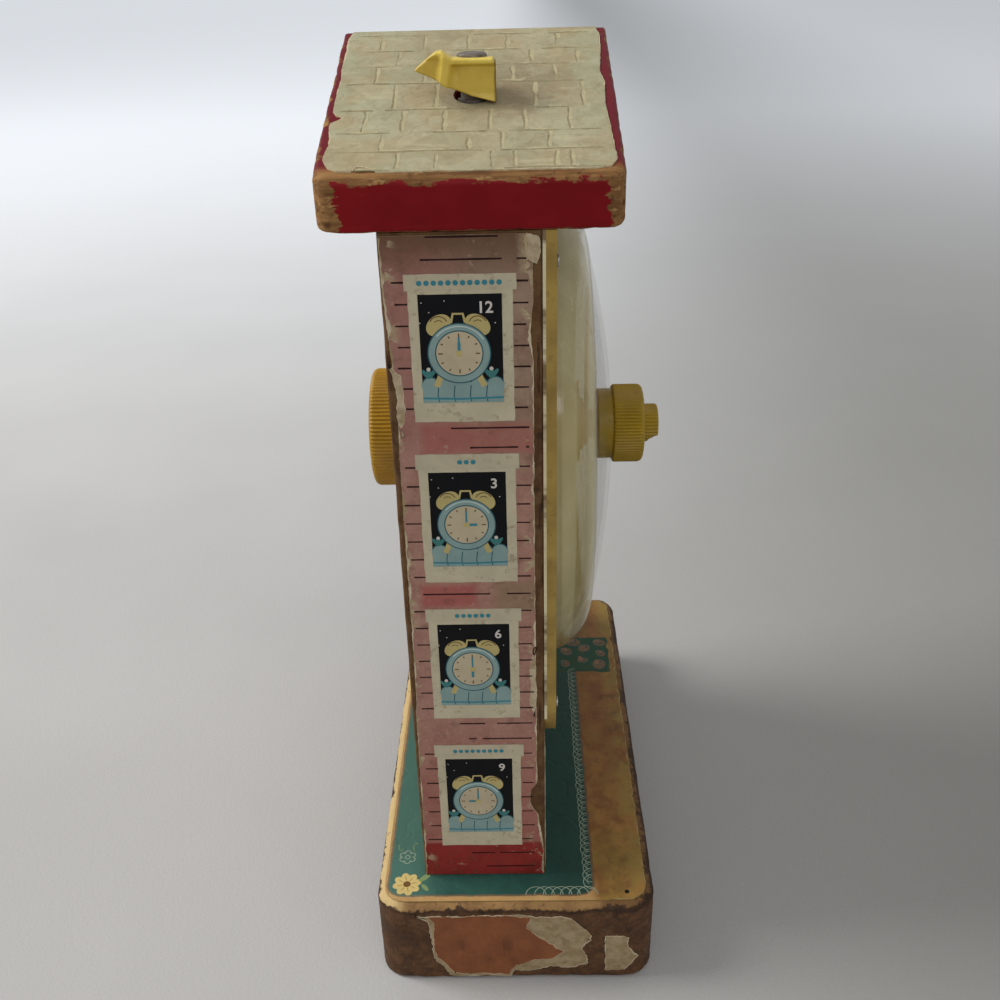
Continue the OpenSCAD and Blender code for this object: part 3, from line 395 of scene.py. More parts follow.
def base_print():
    """Green lawn with an ochre border, worn through at the front."""
    f = Finish("base_print")
    mottled = f.clouds(9, 4, 0.6, 31)
    depth = f.rounded(FIELD, FIELD_CORNER) + (f.clouds(3, 3, 0.5, 32) - 0.5) * 1.0
    green = f.blend(mottled.above(0.5, 0.2), "21483f", "29554a")
    # Lighter green towards the rear: partly yellowing, partly painted light on the side that faces the key
    # lamp.
    green = f.blend(f.y.above(27, 8) * 0.6, green, "4f7567")
    # Darker green towards the front: painted shade.
    green = f.blend(f.y.below(-8, 12) * 0.6, green, "153229")
    green = f.blend(f.clouds(1.2, 4, 0.7, 33).above(0.68, 0.03) * 0.35, green, "557868")
    ochre = f.blend(f.clouds(7, 4, 0.6, 34).above(0.5, 0.15), "9c7238", "7a5127")
    ochre = f.blend(f.clouds(12, 3, 0.5, 35).above(0.55, 0.1) * 0.5, ochre, "7d6a2c")
    ochre = f.blend(f.x.above(NEAR_END + 50, 30) * 0.5, ochre, "6f4522")
    ochre = f.blend(f.clouds(2.6, 5, 0.66, 40).above(0.6, 0.05) * 0.35, ochre, "4a2f16")
    # Lighter ochre along the rear border and the near end; on the rear border this is painted light.
    rim = f.y.above(30, 5).most(f.x.below(NEAR_END + 8, 2) * f.y.above(-25, 2))
    ochre = f.blend(rim, ochre, f.blend(mottled.above(0.5, 0.2), "a88050", "b99560"))
    f.colour = f.blend(depth.above(0, 0.25), ochre, green)
    f.coat(abs(depth - 0.35).below(0.3, 0.15) * 0.4, "98603b")
    bite = (f.clouds(7, 5, 0.65, 36) + f.y.below(-33, 5) * 0.1).above(0.69, 0.02) * f.y.below(-28, 1)
    f.coat(bite * 0.5, "5b3d20")
    f.coat(f.y.below(-36, 3) * f.clouds(9, 3, 0.5, 39).above(0.42, 0.1) * 0.6, "8f7a3a")
    edge = torn(f, 37)
    f.coat(edge, "96814f")
    return f.shade(0.42 + 0.25 * mottled, creases(f, 38) - edge * 0.5 - bite * 0.5, 0.25, 0.3)


def label_paper(name, light, dark, seed):
    """Torn remains of a label: fibrous core or faded print."""
    f = Finish(name)
    fibres = f.clouds(1.3, 5, 0.7, seed)
    cloud = f.clouds(4, 5, 0.65, seed + 1)
    f.colour = f.blend(cloud.above(0.5, 0.1), light, dark)
    f.coat(f.clouds(2.2, 5, 0.7, seed + 2).above(0.6, 0.06) * 0.35, "6d5840")
    f.coat(torn(f, seed + 3) * 0.7, "c9bba0")
    return f.shade(0.85, fibres + cloud, 0.45)


def orange_label():
    """Orange print with darker rubbed strokes in its middle."""
    f = Finish("orange_label")
    cloud = f.clouds(8, 4, 0.6, 44)
    f.colour = f.blend(cloud.above(0.5, 0.2), "764426", "885231")
    f.coat(f.clouds(2, 5, 0.7, 48).above(0.57, 0.06) * 0.3, "6b3c22")
    strokes = f.clouds(3.4, 3, 0.5, 45, f.stretched(1, 1, 0.35)).above(0.52, 0.07)
    f.coat(f.inside(0, 7, 19, 18, 3) * strokes * 0.5, "4f2a1c")
    f.coat(torn(f, 49) * 0.8, "bfae92")
    return f.shade(0.6 + 0.2 * cloud, f.clouds(1.5, 4, 0.6, 46), 0.2)


def ink(name, code, worn="8d7f68", wear=0.7, soil=0.0):
    """Printed colour with the paper showing through where it is rubbed."""
    f = Finish("ink_" + name)
    rubbed = f.clouds(1.0, 4, 0.7, 51).above(wear, 0.04)
    darker = tuple(value * 0.84 for value in tint(code))
    f.colour = f.blend(f.clouds(5, 3, 0.5, 52).above(0.5, 0.3), code, darker)
    f.coat(rubbed * 0.55, worn)
    if soil:
        f.coat(f.clouds(2.6, 5, 0.68, 53).above(0.6, 0.05) * soil, "6a573c")
        f.coat(f.flecks(3, 54).below(0.08, 0.03) * soil, "4a3824")
    return f.shade(0.58 + 0.2 * rubbed, shine=0.15)


def plastic(name, code, aged, seed):
    """Moulded plastic, yellowed with age and finely scratched."""
    f = Finish(name)
    scratch = f.clouds(1.2, 3, 0.6, seed + 1, f.stretched(1, 0.35, 1)).above(0.68, 0.03)
    dirt = f.clouds(3, 4, 0.6, seed + 2).above(0.63, 0.06)
    f.colour = f.blend(f.clouds(11, 3, 0.5, seed).above(0.5, 0.25), code, aged)
    f.coat(dirt * 0.3, "5d4517")
    f.coat(scratch * 0.4, "b8973c")
    height = f.clouds(0.7, 3, 0.5, seed + 3) * 0.3 - scratch * 0.3
    return f.shade(0.36 + 0.35 * scratch + 0.12 * dirt, height, 0.06, 0.28)


def bird_plastic():
    """Bright yellow of the bird, with painted shade in its hollows and on its tail face, darker towards its
    foot.
    """
    f = Finish("bird_plastic")
    f.colour = f.blend(f.clouds(5, 3, 0.5, 73).above(0.5, 0.25), "dcc352", "ceb044")
    # Painted shade in the sunken wings, groove and head.
    f.coat(f.attribute("sunken") * 0.5, "b08c22")
    # Darker towards its foot, near the roof.
    f.coat((f.z + f.clouds(2, 4, 0.6, 74) * 3).below(RIDGE_Z - 12.6, 1.5) * 0.35, "7a5a1c")
    # Painted shade on the tail face, which faces away from the lamp.
    f.coat((f.y + f.clouds(1.2, 3, 0.6, 75) * 0.6).below(POST_Y - 5.2, 0.25) * 0.75, "5a431b")
    f.coat(f.flecks(1.6, 7).below(0.12, 0.05) * 0.3, "6e521c")
    return f.shade(0.34 + 0.2 * f.clouds(1.2, 3, 0.6, 76), f.clouds(0.9, 3, 0.5, 77), 0.08, 0.5)


def clear_plastic():
    """Clear plastic gone milky and yellow at its wall, clearer over its front; painted highlight streaks on
    the wall, painted shade over the front and a painted highlight along the shoulder.
    """
    f = Finish("clear_plastic")
    radius = (f.x * f.x + (f.z - AXIS_Z) * (f.z - AXIS_Z)).root()
    front = f.y.below(DOME_SHOULDER, 0.35)
    scuff = f.clouds(1.6, 3, 0.5, 61, f.stretched(0.6, 1, 0.08)).above(0.66, 0.06)
    bands = f.clouds(3.2, 2, 0.5, 64, f.stretched(0.02, 1, 0.02))
    haze = f.clouds(16, 3, 0.5, 62).above(0.5, 0.3)
    dust = f.clouds(7, 3, 0.55, 65, f.stretched(1, 1, 0.35)).above(0.56, 0.12)
    # A painted highlight line along the shoulder, a little more opaque there too.
    shoulder_highlight = abs(f.y - DOME_SHOULDER).below(0.3, 0.25)
    facing = f.add("LayerWeight", (), {"Blend": 0.5}, "Facing")
    f.colour = f.blend(haze, "a4945c", "b5a573")
    f.coat(f.z.below(AXIS_Z - 25, 45) * 0.5, "7a683e")
    # Lighter bands along the wall: painted highlight streaks. The same bands thicken the milk and bump the
    # wall.
    f.coat(bands.above(0.5, 0.12) * 0.4, "cfc79c")
    f.coat(dust * 0.25, "d3cba6")
    # Darker grey over the clear front: painted shade.
    f.coat(front * 0.85, "716d58")
    f.coat(shoulder_highlight * 0.6, "8a7f52")
    milk = 0.48 + f.z.below(AXIS_Z - 20, 40) * 0.14 + bands.above(0.5, 0.14) * 0.12
    wall = milk + haze * 0.05 + scuff * 0.05 + dust * 0.05 + facing * 0.08
    crown = 0.04 + facing * 0.08 + dust * 0.03
    seat = radius.below(SEAT_R + 0.2, 0.2) * f.y.above(FRAME_FRONT - 0.1, 0.1)
    cover = (wall * (1 - front) + crown * front).least(0.9) + seat * 0.2 + shoulder_highlight * 0.3
    height = f.clouds(9, 2, 0.5, 63) + bands * 0.6
    return f.shade(0.14 + 0.3 * scuff + 0.1 * dust, height, 0.3, 0.5, Alpha=cover.least(0.9))


def metal(name, code, dull, roughness, seed, rust=0.0):
    """Bare metal with brushed streaks and a little tarnish."""
    f = Finish(name)
    brushed = f.clouds(0.9, 3, 0.6, seed, f.stretched(1, 0.15, 1))
    tarnish = f.clouds(4, 4, 0.6, seed + 1).above(0.58 - rust, 0.12)
    f.colour = f.blend(tarnish, code, dull)
    return f.shade(roughness + 0.25 * tarnish, brushed, 0.05, 0.5, Metallic=1 - 0.7 * tarnish)


def card(name, light, dark, seed, edge_x=None):
    """Printed card or hardboard with fine fibres, frayed along its upright edges."""
    f = Finish(name)
    cloud = f.clouds(13, 4, 0.6, seed)
    fibre = f.clouds(0.9, 3, 0.7, seed + 1)
    f.colour = f.blend(cloud.above(0.5, 0.25), light, dark)
    f.coat(f.flecks(5, seed).below(0.1, 0.05) * 0.35, "4a3521")
    if edge_x:
        fray = f.clouds(17, 5, 0.68, seed + 3, f.stretched(0.3, 0.3, 1)).above(0.53, 0.06)
        f.coat(abs(f.x).above(edge_x - 0.4, 0.2) * fray * 0.85, "5e4526")
    return f.shade(0.6 + 0.2 * fibre, fibre + cloud * 0.5, 0.12)


# Mesh building

def add_object(name, data):
    """A new object in the scene."""
    holder = bpy.data.objects.new(name, data)
    bpy.context.scene.collection.objects.link(holder)
    return holder


def add_mesh(name, points, faces):
    """A mesh object from places in millimetres."""
    mesh = bpy.data.meshes.new(name)
    faces = [[int(i) for i in face] for face in faces]
    mesh.from_pydata((np.asarray(points, float) * MM).tolist(), [], faces)
    return add_object(name, mesh)


def new_piece(name, points, faces, finishes, replaces=(), body="case", smooth=True, fields=(),
              which=None):
    """Makes a mesh piece from places in millimetres and lets it ride on a body."""
    piece = add_mesh(name, points, faces)
    mesh = piece.data
    for field, values in dict(fields).items():
        mesh.attributes.new(field, "FLOAT", "POINT").data.foreach_set("value", np.asarray(values, np.float32))
    for finish in finishes:
        mesh.materials.append(finish)
    if which is not None:
        mesh.polygons.foreach_set("material_index", np.asarray(which, np.int32))
    mesh.polygons.foreach_set("use_smooth", [smooth] * len(mesh.polygons))
    mesh.update()
    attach(piece, body)
    if replaces:
        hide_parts(*replaces)
    return piece


def hum(x, y, z):
    """One value of smooth noise from -1 to 1."""
    return noise.noise(Vector((x, y, z)))


def ripple(points, length, seed=0):
    """Smooth noise from -1 to 1 at places in millimetres, flat ones too."""
    spots = np.asarray(points, float)
    spots = np.pad(spots, ((0, 0), (0, 3 - spots.shape[1])))
    shift = Vector((seed * 17.3, seed * 5.1, seed * 9.7))
    return np.array([noise.noise(Vector(spot) / length + shift) for spot in spots])


def ring(radius, steps, x=0.0, y=0.0):
    """Points evenly round a circle."""
    turn = np.linspace(0, 2 * math.pi, steps, endpoint=False)
    return np.column_stack([x + radius * np.cos(turn), y + radius * np.sin(turn)])


def polar(radius, degrees, x=0.0, y=0.0):
    """A place at a radius and an angle from x, y."""
    return x + radius * math.cos(math.radians(degrees)), y + radius * math.sin(math.radians(degrees))


def arc(centre, radius, start, end, count=6):
    """Points on an arc given in degrees."""
    return [polar(radius, angle, *centre) for angle in np.linspace(start, end, count)]


def bands(steps, rings, closed=False):
    """Four-sided faces between rings of steps points each."""
    return [(k * steps + i, k * steps + (i + 1) % steps, (k + 1) % rings * steps + (i + 1) % steps,
             (k + 1) % rings * steps + i) for k in range(rings - (not closed)) for i in range(steps)]


def caps(steps, rings):
    """Faces over the first and the last ring."""
    return [tuple(range(steps))[::-1], tuple(range((rings - 1) * steps, rings * steps))]


def ticks(low, high, step, rim, fine):
    """Grid lines from low to high, closer together within rim of each end."""
    inner = np.linspace(low + rim, high - rim, max(2, round((high - low - 2 * rim) / step) + 1))
    ends = np.linspace(0, rim, max(1, round(rim / fine)) + 1)[:-1]
    return np.concatenate([low + ends, inner, high - ends[::-1]])


def lattice(*lines):
    """Points and four-sided faces of the skin of a box with grid lines on each axis."""
    quads = []
    for axis in range(3):
        u, v = (axis + 1) % 3, (axis + 2) % 3
        a, b = np.meshgrid(np.arange(len(lines[u]) - 1), np.arange(len(lines[v]) - 1), indexing="ij")
        for side in (0, len(lines[axis]) - 1):
            corners = []
            for da, db in ((0, 0), (1, 0), (1, 1), (0, 1)):
                cell = np.zeros(a.shape + (3,), int)
                cell[..., axis], cell[..., u], cell[..., v] = side, a + da, b + db
                corners.append(cell)
            quad = np.stack(corners, 2).reshape(-1, 4, 3)
            quads.append(quad if side else quad[:, ::-1])
    cells, faces = np.unique(np.concatenate(quads).reshape(-1, 3), axis=0, return_inverse=True)
    points = np.stack([np.asarray(line)[cells[:, i]] for i, line in enumerate(lines)], 1)
    return points, faces.reshape(-1, 4)


def worn_block(points, low, high, corner, edges, open_high_x=False):
    """Rounds a box's skin: corners in plan, then the lower and upper edges.

    edges gives each point's radius below and above. Returns the places and how
    near each lies to an edge, from 0 to 1."""
    spots = points.copy()
    x_end = np.inf if open_high_x else high[0] - corner
    inner = np.stack([np.clip(points[:, 0], low[0] + corner, x_end),
                      np.clip(points[:, 1], low[1] + corner, high[1] - corner)], 1)
    off = points[:, :2] - inner
    reach = np.abs(off).max(1)
    length = np.maximum(np.hypot(*off.T), 1e-9)
    rim = np.clip(np.abs(off).min(1) / corner, 0, 1)
    for end, radius, sign in ((low[2], edges[0], 1), (high[2], edges[1], -1)):
        from_side = corner - reach
        from_end = sign * (spots[:, 2] - end)
        side_in = np.clip(radius - from_side, 0, None)
        end_in = np.clip(radius - from_end, 0, None)
        shrink = np.maximum(side_in, end_in) / np.maximum(np.hypot(side_in, end_in), 1e-9)
        near = (side_in > 0) & (end_in > 0)
        reach = np.where(near, corner - (radius - side_in * shrink), reach)
        spots[:, 2] = np.where(near, end + sign * (radius - end_in * shrink), spots[:, 2])
        rim = np.maximum(rim, np.clip(1 - np.maximum(from_side, from_end) / 5, 0, 1))
    spots[:, :2] = inner + off / length[:, None] * reach[:, None]
    return spots, rim


def carve(piece, x, y, low, high, across, steps=48):
    """Drills a round hole along Z into a piece."""
    loop = ring(across / 2, steps, x, y)
    points = [(*spot, z) for z in (low, high) for spot in loop]
    drill = add_mesh("drill", points, bands(steps, 2) + caps(steps, 2))
    cut = piece.modifiers.new("hole", "BOOLEAN")
    cut.operation = "DIFFERENCE"
    cut.object = drill
    bpy.context.view_layer.update()
    carved = bpy.data.meshes.new_from_object(piece.evaluated_get(bpy.context.evaluated_depsgraph_get()))
    piece.modifiers.remove(cut)
    piece.data = carved
    bpy.data.objects.remove(drill)


def outward(piece):
    """Turns all faces of a closed piece outwards and keeps its hard edges."""
    bm = bmesh.new()
    bm.from_mesh(piece.data)
    bmesh.ops.recalc_face_normals(bm, faces=bm.faces[:])
    for edge in bm.edges:
        edge.smooth = edge.calc_face_angle(0) < math.radians(38)
    bm.to_mesh(piece.data)
    bm.free()


def turned(name, profile, steps, finish, replaces, body="case", shape=None, closed=False, post=False,
           dent=0.0):
    """A piece turned about the hands' axis, or about the bird's post, from places along it and radii.

    shape may change the radius round each ring. A closed profile ends at its first ring, and
    another has its ends capped."""
    turn = np.linspace(0, 2 * math.pi, steps, endpoint=False)
    rings = []
    for k, (along, radius, *_) in enumerate(profile):
        reach = radius if shape is None else shape(turn, k, radius)
        u, v = reach * np.cos(turn), reach * np.sin(turn)
        rings.append(places(POST_X + u, POST_Y + v, along) if post else places(u, along, AXIS_Z + v))
    points = np.concatenate(rings)
    if dent:
        points += dent * ripple(points, 1.1, 81)[:, None] * [0.4, 0.4, 1]
    faces = bands(steps, len(profile), closed) + ([] if closed else caps(steps, len(profile)))
    outward(new_piece(name, points, faces, [finish], replaces, body))


# Torn sheets

def walk(outline, step):
    """Points at even steps along a closed outline."""
    loop = np.array(list(outline) + [outline[0]], float)
    result = []
    for a, b in zip(loop[:-1], loop[1:]):
        count = max(1, round(math.dist(a, b) / step))
        result += [a + (b - a) * i / count for i in range(count)]
    return np.array(result)


def normals(loop):
    """Outward directions along a closed loop that runs anticlockwise."""
    along = np.roll(loop, -1, 0) - np.roll(loop, 1, 0)
    out = np.stack([along[:, 1], -along[:, 0]], 1)
    return out / np.maximum(np.hypot(*out.T), 1e-9)[:, None]


def anticlockwise(outline):
    """An outline as an array that runs anticlockwise."""
    loop = np.array(outline, float)
    x, y = loop.T
    area = np.sum(x * np.roll(y, -1) - y * np.roll(x, -1))
    return loop if area > 0 else loop[::-1]


def triangles(*rings):
    """Triangles that fill flat rings, the second one a hole."""
    return tessellate_polygon([[Vector((*spot, 0)) for spot in loop] for loop in rings])


def torn_sheet(name, outline, place, finish, tear=0.5, fringe=1.2, seed=0, cuts=(), hole=None,
               straight=None, thickness=PAPER, replaces=()):
    """A sheet with a ragged edge. place takes flat places and a lift and gives them in space.

    straight says which flat places lie on an edge that was cut clean, and cuts are the lines
    along which the sheet bends."""
    loop = walk(anticlockwise(outline), 0.5)
    clean = np.zeros(len(loop), bool) if straight is None else straight(loop)
    bites = np.clip(ripple(loop, 8, seed + 1) - 0.2, 0, 1) * 3.2
    shreds = np.abs(ripple(loop, 0.8, seed + 2)) * 0.5
    ragged = tear * (np.abs(ripple(loop, 2.3, seed)) * 1.1 + bites + shreds)
    width = fringe * np.clip(0.55 + ripple(loop, 4, seed + 3) * 1.4, 0.15, 2)
    width[clean] = 0.02
    ragged[clean] = 0
    edge = loop - normals(loop) * ragged[:, None]
    inner = edge - normals(edge) * width[:, None]
    count = len(loop)
    rings = [inner] if hole is None else [inner, hole]
    faces = bands(count, 2) + [tuple(i + count for i in face) for face in triangles(*rings)]
    bm = bmesh.new()
    layer = bm.verts.layers.float.new("inner")
    verts = [bm.verts.new((*spot, 0)) for spot in np.concatenate([edge, *rings])]
    for i, vert in enumerate(verts):
        vert[layer] = 0.0 if i < count else 1.0
    for face in faces:
        try:
            bm.faces.new([verts[i] for i in face])
        except ValueError:
            continue
    for origin, direction in cuts:
        bmesh.ops.bisect_plane(bm, geom=bm.verts[:] + bm.edges[:] + bm.faces[:], dist=1e-4,
                               plane_co=(*origin, 0), plane_no=(*direction, 0))
    bmesh.ops.recalc_face_normals(bm, faces=bm.faces[:])
    if sum(face.normal.z * face.calc_area() for face in bm.faces) < 0:
        bmesh.ops.reverse_faces(bm, faces=bm.faces[:])
    bm.verts.index_update()
    spots = np.array([vert.co[:2] for vert in bm.verts])
    faces = [[vert.index for vert in face.verts] for face in bm.faces]
    first = faces[0]
    for side in bm.edges:
        if side.is_boundary:
            a, b = side.link_loops[0].vert.index, side.link_loops[0].link_loop_next.vert.index
            faces.append([b, a, a + len(spots), b + len(spots)])
    inside = [vert[layer] for vert in bm.verts]
    bm.free()
    points = np.concatenate([place(*spots.T, thickness), place(*spots.T, 0.0)])
    facing = np.cross(points[first[1]] - points[first[0]], points[first[2]] - points[first[0]])
    if facing @ (place(*spots[:1].T, 1.0)[0] - place(*spots[:1].T, 0.0)[0]) < 0:
        faces = [face[::-1] for face in faces]
    new_piece(name, points, faces, [finish], replaces, smooth=False, fields={"inner": inside * 2})


# Printed shapes

# Height between two layers of a print, and the small steps that keep neighbours apart
LAYER = 0.015
STEP = 0.0011
STEPS = 13


class Print:
    """Flat printed shapes on one surface, in one piece with a finish for each colour."""

    def __init__(self, name, place, lift=PAPER):
        self.name, self.place, self.lift = name, place, lift
        self.points, self.faces, self.which, self.colours = [], [], [], []
        self.count = 0

    def shape(self, outline, colour, layer=1, faces=None):
        """A filled outline. A higher layer lies on a lower one, and neighbours never share a height."""
        start = len(self.points)
        self.count += 1
        spots = np.array(outline, float)
        lift = self.lift + LAYER * layer + STEP * (self.count % STEPS)
        self.points += self.place(*spots.T, lift).tolist()
        if colour not in self.colours:
            self.colours.append(colour)
        for face in faces or triangles(spots):
            self.faces.append([start + i for i in face])
            self.which.append(self.colours.index(colour))

    def box(self, u0, v0, u1, v1, colour, layer=1, wobble=0.0):
        """A box with slightly uneven sides."""
        loop = walk([(u0, v0), (u1, v0), (u1, v1), (u0, v1)], 1.5)
        if wobble:
            loop = loop + normals(loop) * (ripple(loop, 3, u0) * wobble)[:, None]
        self.shape(loop, colour, layer)

    def disc(self, u, v, radius, colour, layer=1, squash=1.0, tilt=0.0, count=28):
        """A round or oval spot."""
        a, b = (ring(radius, count) * [1, squash]).T
        c, s = polar(1, tilt)
        self.shape(np.column_stack([u + a * c - b * s, v + a * s + b * c]), colour, layer)

    def stroke(self, path, width, colour, layer=1, uneven=0.0):
        """A line of the given width along a path; uneven makes it swell and fade."""
        path = np.array(path, float)
        along = np.gradient(path, axis=0)
        side = np.column_stack([-along[:, 1], along[:, 0]])
        side /= np.maximum(np.hypot(*side.T), 1e-9)[:, None]
        half = np.full(len(path), width / 2)
        if uneven:
            half *= np.clip(1 + uneven * ripple(path, 2.6, 9) * 2, 0.12, 2)
        off = side * half[:, None]
        self.shape(np.concatenate([path + off, (path - off)[::-1]]), colour, layer)

    def spoke(self, u, v, near, far, degrees, width, colour, layer=1):
        """A line outwards from a middle, its angle counted clockwise from the top."""
        self.stroke([polar(near, 90 - degrees, u, v), polar(far, 90 - degrees, u, v)], width, colour, layer)

    def loop(self, u, v, radius, width, colour, layer=1, start=0, end=360, squash=1.0, count=24):
        """Part of a circle's line."""
        turn = np.radians(np.linspace(start, end, count))
        path = np.column_stack([u + radius * np.cos(turn), v + radius * squash * np.sin(turn)])
        self.stroke(path, width, colour, layer)

    def numeral(self, text, u, v, height, colour, layer=1, flip=1):
        """A plain number, centred on its place. flip is -1 where u runs to the reader's left."""
        curve = bpy.data.curves.new("numeral", "FONT")
        curve.body = text
        curve.size = 1.0
        curve.offset = 0.018
        curve.resolution_u = 6
        holder = add_object("numeral", curve)
        bpy.context.view_layer.update()
        mesh = holder.to_mesh()
        spots = np.array([vert.co[:2] for vert in mesh.vertices])
        faces = [tuple(face.vertices) for face in mesh.polygons]
        holder.to_mesh_clear()
        bpy.data.objects.remove(holder)
        low, high = spots.min(0), spots.max(0)
        spots = (spots - (low + high) / 2) * height / (high[1] - low[1])
        self.shape(spots * [flip, 1] + [u, v], colour, layer, faces)

    def finish(self, slot):
        """Makes the piece, with one ink for each colour used."""
        new_piece(self.name, self.points, self.faces, [INKS[colour] for colour in self.colours],
                  smooth=False, which=self.which)


# Places of flat prints: two measures and a lift give places in space

def places(x, y, z):
    """Places from three measures, each a number or an array."""
    return np.column_stack(np.broadcast_arrays(x, y, z))


def on_left(y, z, lift):
    return places(-HALF_W - lift, y, z)


def on_right(y, z, lift):
    return places(HALF_W + lift, y, z)


def on_roof(x, y, lift):
    return places(x, y, roof_z(x) + lift)


def on_base(x, y, lift):
    return places(x, y, BASE_TOP + lift)


def on_front(x, z, lift):
    return places(x, BOARD_LO[1] - lift, z)


def on_card(x, z, lift):
    return places(x, CARD_LO[1] - lift, z)


def on_end(y, z, lift):
    """The base's left end face, which turns away round its corners."""
    beyond = np.clip(np.abs(y) - (BASE_HI[1] - BASE_CORNER), 0, BASE_CORNER - 0.01)
    return places(NEAR_END + BASE_CORNER - np.sqrt(BASE_CORNER ** 2 - beyond ** 2) - lift, y, z)


# Case, roof and base

COUNTERBORE_D = 9
COUNTERBORE_TOP = 6
# Rings along a side board, close enough to show its chipped edges
BOARD_RINGS = 171


def base_board(finish):
    """Base block with round corners, a soft top rim and counterbores beneath."""
    points, faces = lattice(ticks(BASE_LO[0], BASE_HI[0], 2.2, BASE_CORNER, 0.9),
                            ticks(BASE_LO[1], BASE_HI[1], 2.2, BASE_CORNER, 0.9),
                            ticks(BASE_LO[2], BASE_HI[2], 2.0, 4, 0.5))
    wear = ripple(points, 9, 1)
    spots, rim = worn_block(points, BASE_LO, BASE_HI, BASE_CORNER, (0.9 + 0.4 * wear, 2.8 + 0.8 * wear))
    dent = np.clip(ripple(spots, 4, 2), 0, 1) * 0.5 + np.clip(ripple(spots, 1.6, 3), 0, 1) * 0.25
    inward = ((BASE_LO + BASE_HI) / 2 - spots) * [0.3, 1, 1]
    inward /= np.linalg.norm(inward, axis=1)[:, None]
    spots += inward * (dent * (0.15 + rim))[:, None]
    piece = new_piece("worn_base", spots, faces, [finish], ["base_board"], fields={"rim": rim})
    screw_x = HALF_W - BOARD_THK / 2
    middle = (BOARD_LO[1] + BOARD_HI[1]) / 2
    quarter = (BOARD_HI[1] - BOARD_LO[1]) / 4
    for x in (-screw_x, screw_x):
        for y in (middle - quarter, middle + quarter):
            carve(piece, x, y, -1, COUNTERBORE_TOP, COUNTERBORE_D)


def roof_slab(side, finish):
    """One half of the roof, sheared to its pitch, with rubbed and rounded eaves."""
    low = np.array([-EAVE_X, SLAB_LO[1], 0])
    high = np.array([0, SLAB_HI[1], ROOF_THK])
    points, faces = lattice(ticks(low[0], high[0], 2, ROOF_CORNER, 0.5),
                            ticks(low[1], high[1], 1.6, ROOF_CORNER, 0.5),
                            ticks(low[2], high[2], 0.9, 2.5, 0.35))
    wear = ripple(points, 7, 4 + side)
    eave = np.clip(1 + (points[:, 0] + EAVE_X) / -12, 0, 1)
    edges = (0.8 + 0.4 * wear + 0.5 * eave, 1.0 + 0.5 * wear + 1.1 * eave)
    spots, rim = worn_block(points, low, high, ROOF_CORNER, edges, open_high_x=True)
    height = spots[:, 2] / ROOF_THK
    notch = np.clip(ripple(spots, 2.2, 6 + side), 0, 1) * 0.55
    notch += np.clip(ripple(spots * [1, 0.2, 1], 0.9, 7), 0, 1) * 0.22
    inward = ((low + high) / 2 - spots) * [1, 0.5, 2]
    inward[:, 0] = np.clip(inward[:, 0], 0, None)
    inward /= np.linalg.norm(inward, axis=1)[:, None]
    spots += inward * (notch * (0.1 + 0.9 * rim) * np.where(spots[:, 0] > -2, 0, 1))[:, None]
    spots[:, 2] += RIDGE_Z - ROOF_THK - np.abs(spots[:, 0]) * SLOPE
    if side > 0:
        spots[:, 0] *= -1
        faces = faces[:, ::-1]
    node = "left_roof_slab" if side < 0 else "right_roof_slab"
    piece = new_piece("worn_" + node, spots, faces, [finish], [node],
                      fields={"rim": rim, "height": height})
    if side < 0:
        carve(piece, POST_X, POST_Y, BOARD_TOP, RIDGE_Z + 5, BUSH_D)


def side_board(side, finish):
    """Upright board with worn outer edges, rebated inside, cut to the roof's pitch."""
    front, rear = BOARD_LO[1], BOARD_HI[1]
    inner = HALF_W - BOARD_THK
    rebate = [(REBATE_W + 2, 0, 0.3), (REBATE_W, 0, 0.2), (REBATE_W, REBATE_D, 0), (0, REBATE_D, 0)]
    inside = [(inner + x, front + y, rim) for x, y, rim in rebate]
    inside += [(inner + x, rear - y, rim) for x, y, rim in rebate[::-1]]
    points, rims = [], []
    for level in np.arange(BOARD_RINGS) / (BOARD_RINGS - 1):
        z = BOARD_LO[2] + level * (BOARD_TOP - BOARD_LO[2])
        worn = []
        for y, out, angles in ((front, -1, (0, -90)), (rear, 1, (90, 0))):
            spot = [(side * 9, out * 30, z)]
            bite = max(0, ripple(spot, 13, 12)[0] - 0.25) * 3.0
            radius = 0.9 + 0.5 * ripple(spot, 5, 11)[0] + bite
            edge = arc((HALF_W - radius, y - out * radius), radius, *angles, 7)
            worn.append([(*place, 1.0) for place in edge])
        for x, y, rim in [(HALF_W, (front + rear) / 2, 0.0)] + worn[0] + inside + worn[1]:
            top = BOARD_TOP + (HALF_W - x) * SLOPE
            points.append((side * x, y, BOARD_LO[2] + level * (top - BOARD_LO[2])))
            rims.append(rim)
    count = len(points) // BOARD_RINGS
    faces = [(a, d, c, b) for a, b, c, d in bands(count, BOARD_RINGS)]
    faces += [face[::-1] for face in caps(count, BOARD_RINGS)]
    if side < 0:
        faces = [face[::-1] for face in faces]
    node = "left_side_board" if side < 0 else "right_side_board"
    new_piece("worn_" + node, points, faces, [finish], [node], smooth=False,
              fields={"rim": rims})


# Side print: dashes, picture frames and pictures

DASH_ROWS = 37
# Long dashes between the pictures, from the rear to the front
LONG_DASHES = {
    0: [(17.7, 0.8)], 1: [(19.1, 0.0), (-3.4, -5.7)], 9: [(13.7, -6.0)], 10: [(9.1, -3.1), (-5.1, -5.9)],
    18: [(23.5, 5.2), (0.6, -5.9)], 26: [(15.3, 7.9), (4.4, -6.0)], 27: [(12.8, 10.5), (8.7, -5.8)],
    35: [(13.6, 6.3), (4.7, -6.2)], 36: [(9.0, -6.3)]}
